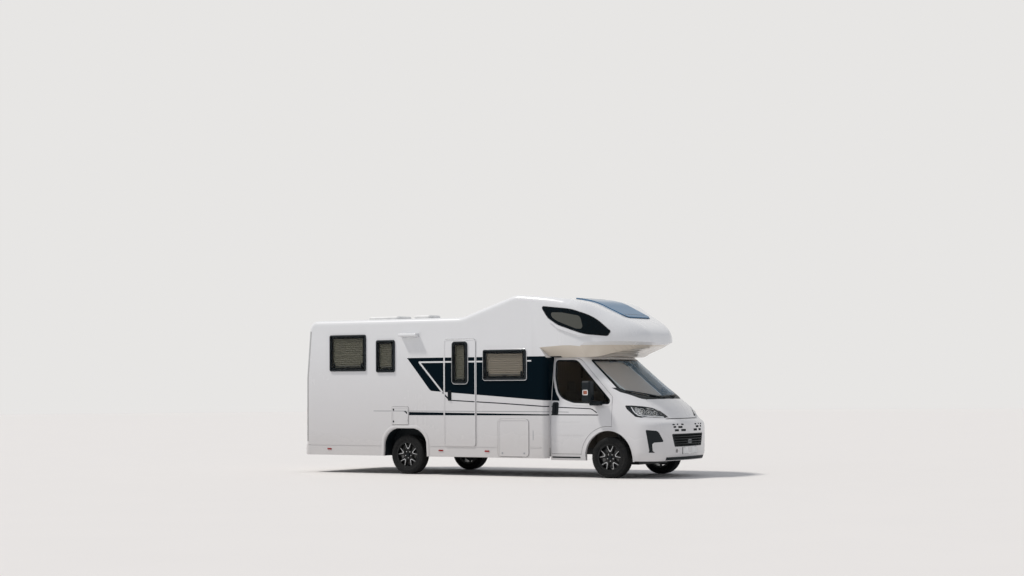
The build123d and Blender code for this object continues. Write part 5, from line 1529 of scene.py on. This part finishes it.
# Rounded block about the origin, with puffed faces and seams, as a fine grid
def cushion(size, r, puff=0.0, seams=(), cuts=13):
    bm = bmesh.new()
    bmesh.ops.create_cube(bm, size=2.0)
    bmesh.ops.subdivide_edges(bm, edges=bm.edges[:], cuts=cuts, use_grid_fill=True)
    half = Vector(size) / 2
    for v in bm.verts:
        p = Vector([v.co[i] * half[i] for i in range(3)])
        core = Vector([max(-half[i] + r, min(half[i] - r, p[i])) for i in range(3)])
        away = p - core
        q = core + (away.normalized() * r if away.length > 1e-9 else away)
        flat = [1 - min(1.0, abs(v.co[i])) ** 2 for i in range(3)]
        for i in range(3):
            if abs(v.co[i]) > 0.999:
                j, k = [m for m in range(3) if m != i]
                q[i] += math.copysign(puff, v.co[i]) * flat[j] * flat[k]
                for axis, place in seams:
                    if axis != i:
                        q[i] -= math.copysign(0.007, v.co[i]) * math.exp(-((p[axis] - place) / 0.009) ** 2)
        v.co = q
    return bm


def soft_piece(name, parts):
    bm = bmesh.new()
    for block, turn in parts:
        block.transform(turn)
        mesh = settle("block", block)
        bm.from_mesh(mesh)
        bpy.data.meshes.remove(mesh)
    piece = link(name, settle(name, bm))
    finish_piece(piece, seat_fabric, "motorhome")
    return piece


def moved(d, y, z):
    return Matrix.Translation((station(d), y, z))


def seats():
    lean = Matrix.Rotation(math.radians(-7), 4, "Y")
    for side, sign in SIDES:
        y = sign * SEAT_Y
        base = cushion((0.47, 0.462, 0.122), 0.045, 0.003, [(1, 0.13), (1, -0.13)])
        parts = [(base, moved(-785, y, 0.786))]
        for s in (-1, 1):
            bolster = cushion((0.44, 0.07, 0.05), 0.024, 0.002, cuts=7)
            parts.append((bolster, moved(-785, y + s * 0.19, 0.836)))
        soft_piece("seat_cushion_" + side, parts)
        back = cushion((0.098, 0.46, 0.615), 0.042, 0.004, [(1, 0.13), (1, -0.13), (2, 0.1), (2, -0.12)])
        soft_piece("seat_back_" + side, [(back, moved(-1015, y, 1.14) @ lean)])
        rest = cushion((0.072, 0.245, 0.18), 0.034, 0.004)
        soft_piece("head_rest_" + side, [(rest, moved(-1058, y, 1.53) @ lean)])
        rear, front = station(-978) * 1000, station(-642) * 1000
        plan = panel(rear, front, (y - 0.165) * 1000, (y + 0.165) * 1000, 20, 4)
        pedestal = Parts().prism(plan, 542, 716, lambda u, v, w: Vector((u, v, w)) / 1000)
        for s in (-1, 1):
            ends = [(station(-1046), y + s * 0.05, 1.42), (station(-1054), y + s * 0.05, 1.5)]
            pedestal.tube(ends, 0.006, 10)
        pedestal.piece("seat_base_" + side, black_plastic, edge=0.004)
    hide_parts("cab_seats")


def cab_inside():
    dash = on_surface(("dashboard",), (station(0), 0, 0), (0, 1, 0), (-1, 0, 0))
    panels = Parts()
    panels.prism(panel(-130, 130, 1040, 1180, 14, 5), 1, 8, dash)
    panels.prism(panel(-130, 130, 910, 1010, 10, 5), 1, 6, dash)
    for u in (-700, -260, 230, 640):
        panels.prism(panel(u - 55, u + 55, 1110, 1165, 10, 5), 1, 7, dash)
        for k in range(4):
            panels.prism(panel(u - 50, u + 50, 1116 + 12 * k, 1120 + 12 * k, 1, 2), 7, 11, dash)
    panels.piece("dashboard_panels", gloss_black, edge=0.001)
    profile = rounded_outline([(-300, 1225, 20), (-190, 1262, 30), (-100, 1262, 20), (-100, 1225, 4)], 5)
    hood = Parts().prism(profile, 250, 610, lambda u, v, w: Vector((station(u), w / 1000, v / 1000)))
    hood.piece("instrument_hood", black_plastic, edge=0.006)

    def on_top(u, v, w):
        return Vector((station(90 + v * 0.5), u / 1000, 1.254 + w / 1000))

    tops = Parts()
    for u0, u1 in ((-640, -240), (-120, 160)):
        for k in range(7):
            v = -120 + k * 18
            tops.prism(panel(u0, u1, v, v + 5, 2, 2), 0, 3, on_top)
    tops.piece("dashboard_defroster", black_plastic)

    def hanging(u, v, w):
        return Vector((station(u), v / 1000, w / 1000))

    curtain = Parts()
    for sign in (-1, 1):
        front = [(-1085 + 14 * math.sin(k * 1.55), sign * (30 + k * 17.5)) for k in range(45)]
        back = [(-1089 + 14 * math.sin(k * 1.55), sign * (30 + k * 17.5)) for k in reversed(range(45))]
        curtain.prism(front + back, 960, 1960, hanging)
    curtain.piece("cab_curtain", curtain_cloth)

    def under_roof(u, v, w):
        return Vector((station(-420 - v * 0.85), u / 1000, 1.945 + v * 0.0004 - w / 1000))

    visors = Parts()
    for y in (-400, 400):
        visors.prism(panel(y - 230, y + 230, 0, 150, 30, 5), 0, 14, under_roof)
    visors.piece("sun_visors", cream_lining, edge=0.004)


seats()
cab_inside()


# Rear end
# Station of the rear wall, and the middle of the lamp columns on it
REAR = -6252.0
LAMP_Y = 985
REAR_BEZEL_SECTION = [(0, 0), (0, 24), (-6, 27), (-11, 26.4), (-11, 18), (8, 0)]


def behind(u, v, w):
    return Vector((station(REAR - w), u / 1000, v / 1000))


def rear_end():
    for side, sign in SIDES:
        middle = sign * LAMP_Y
        bezels = Parts()
        for low, high in ((640, 820), (830, 1010), (1020, 1200)):
            outline = panel(middle - 75, middle + 75, low, high, 40, 8)
            bezels.moulding(outline, REAR_BEZEL_SECTION, behind)
        bezels.piece("rear_lamp_bezels_" + side, gloss_black)
        # Painted shade: a grey band down each rear corner of the house
        corner = placed([(-6290, 560), (-6100, 560), (-6100, 2560), (-6290, 2560)])
        for node in ("rear_wall", "side_wall_" + side):
            name = f"rear_corner_trim_{side}_{node[:4]}"
            look = (-0.7, sign * 0.7, 0)
            skin(name, node, [corner], look, grey_corner_shade, 0.0012, half=sign, limit=0.8)
        reflector = Parts().prism(panel(middle - 52, middle + 52, 546, 582, 12, 5), 0, 6, behind)
        reflector.piece("rear_reflector_" + side, lamp_red, edge=0.002)
    brake_light = Parts().prism(panel(-160, 160, 2468, 2500, 14, 6), 0, 16, behind)
    brake_light.piece("high_brake_light", lamp_red, edge=0.003)
    plate = Parts().prism(panel(-262, 262, 706, 820, 10, 6), 0, 4, behind)
    plate.piece("rear_plate_holder", black_plastic, edge=0.002)
    blank = Parts().prism(panel(-258, 258, 710, 816, 8, 6), 4, 7, behind)
    blank.piece("rear_number_plate", plate_white, edge=0.0012)
    for side, sign in SIDES:
        u = sign * 120
        lamp = Parts().prism(panel(u - 34, u + 34, 832, 852, 8, 5), 0, 22, behind)
        lamp.piece("plate_lamp_" + side, black_plastic, edge=0.003)
    crease = Parts()
    for v in (1330, 1350):
        crease.prism(panel(-1080, 1080, v, v + 6, 2, 3), 0, 3, behind)
    crease.piece("rear_wall_bead", body_white, edge=0.001)


rear_end()


# Camera, floor and light
# Camera as fitted to the photograph, its turns in radians and its lens in millimetres
CAMERA_AT = Vector((18.78475, -30.39795, 1.60964))
CAMERA_YAW = 0.55031870
CAMERA_PITCH = 0.04719203
CAMERA_ROLL = -0.00570130
LENS = 70.3125
FLOOR_R = 80.0
# Direction to the sun lamp, its strength, its softness in degrees and its colour
SUN_TOWARDS = (-0.447, -0.28, 0.849)
SUN_STRENGTH, SUN_SOFT, SUN_COLOUR = 2.25, 6.0, (1.0, 0.965, 0.92)
# What lights the object, and the backdrop that the camera sees
SKY_COLOUR, SKY_STRENGTH = (0.86, 0.905, 1.0, 1.0), 0.46
BACKDROP_COLOUR = (0.80, 0.79, 0.778, 1.0)


def make_camera():
    level = math.cos(CAMERA_PITCH)
    ahead = Vector((-math.sin(CAMERA_YAW) * level, math.cos(CAMERA_YAW) * level, math.sin(CAMERA_PITCH)))
    right = ahead.cross(Vector((0, 0, 1))).normalized()
    up = right.cross(ahead)
    turned_right = right * math.cos(CAMERA_ROLL) + up * math.sin(CAMERA_ROLL)
    turned_up = up * math.cos(CAMERA_ROLL) - right * math.sin(CAMERA_ROLL)
    data = bpy.data.cameras.new("camera")
    data.lens, data.sensor_width, data.sensor_fit = LENS, 36.0, "HORIZONTAL"
    data.clip_end = 500.0
    camera = link("camera", data)
    turn = Matrix((turned_right, turned_up, -ahead)).transposed().to_4x4()
    camera.matrix_world = Matrix.Translation(CAMERA_AT) @ turn
    bpy.context.scene.camera = camera


def make_floor():
    mesh = bpy.data.meshes.new("floor")
    rim = [(u, v, 0.0) for u, v in circle(0, 0, FLOOR_R, 96)]
    mesh.from_pydata(rim, [], [tuple(range(96))])
    plane = link("floor", mesh)
    f = Finish("pale_floor", Specular_IOR_Level=0.2)
    cloud = f.noise(0.6, detail=5.0)
    shade = f.blend(cloud, (0.775, 0.752, 0.73), (0.80, 0.776, 0.752))
    f.set(Base_Color=shade, Roughness=f.tone(cloud, 0.7, 0.85))
    mesh.materials.append(f.bump(f.noise(90.0, detail=4.0), 0.1).material)


# The object is lit by a soft sky, while the camera, clear panes and reflections see the backdrop
def make_light():
    world = bpy.data.worlds.new("studio")
    bpy.context.scene.world = world
    world.use_nodes = True
    tree = world.node_tree
    sky = tree.nodes["Background"]
    sky.inputs[0].default_value, sky.inputs[1].default_value = SKY_COLOUR, SKY_STRENGTH
    backdrop = tree.nodes.new("ShaderNodeBackground")
    backdrop.inputs[0].default_value, backdrop.inputs[1].default_value = BACKDROP_COLOUR, 1.0
    path = tree.nodes.new("ShaderNodeLightPath")
    seen = path.outputs["Is Camera Ray"]
    for ray in ("Is Transmission Ray", "Is Glossy Ray"):
        either = tree.nodes.new("ShaderNodeMath")
        either.operation, either.use_clamp = "ADD", True
        tree.links.new(seen, either.inputs[0])
        tree.links.new(path.outputs[ray], either.inputs[1])
        seen = either.outputs[0]
    mix = tree.nodes.new("ShaderNodeMixShader")
    for place, socket in enumerate((seen, sky.outputs[0], backdrop.outputs[0])):
        tree.links.new(socket, mix.inputs[place])
    tree.links.new(mix.outputs[0], tree.nodes["World Output"].inputs[0])
    data = bpy.data.lights.new("key", "SUN")
    data.energy, data.angle, data.color = SUN_STRENGTH, math.radians(SUN_SOFT), SUN_COLOUR
    lamp = link("key", data)
    lamp.rotation_euler = Vector(SUN_TOWARDS).to_track_quat("Z", "Y").to_euler()


make_camera()
make_floor()
make_light()
bpy.context.scene.view_settings.view_transform = "Standard"
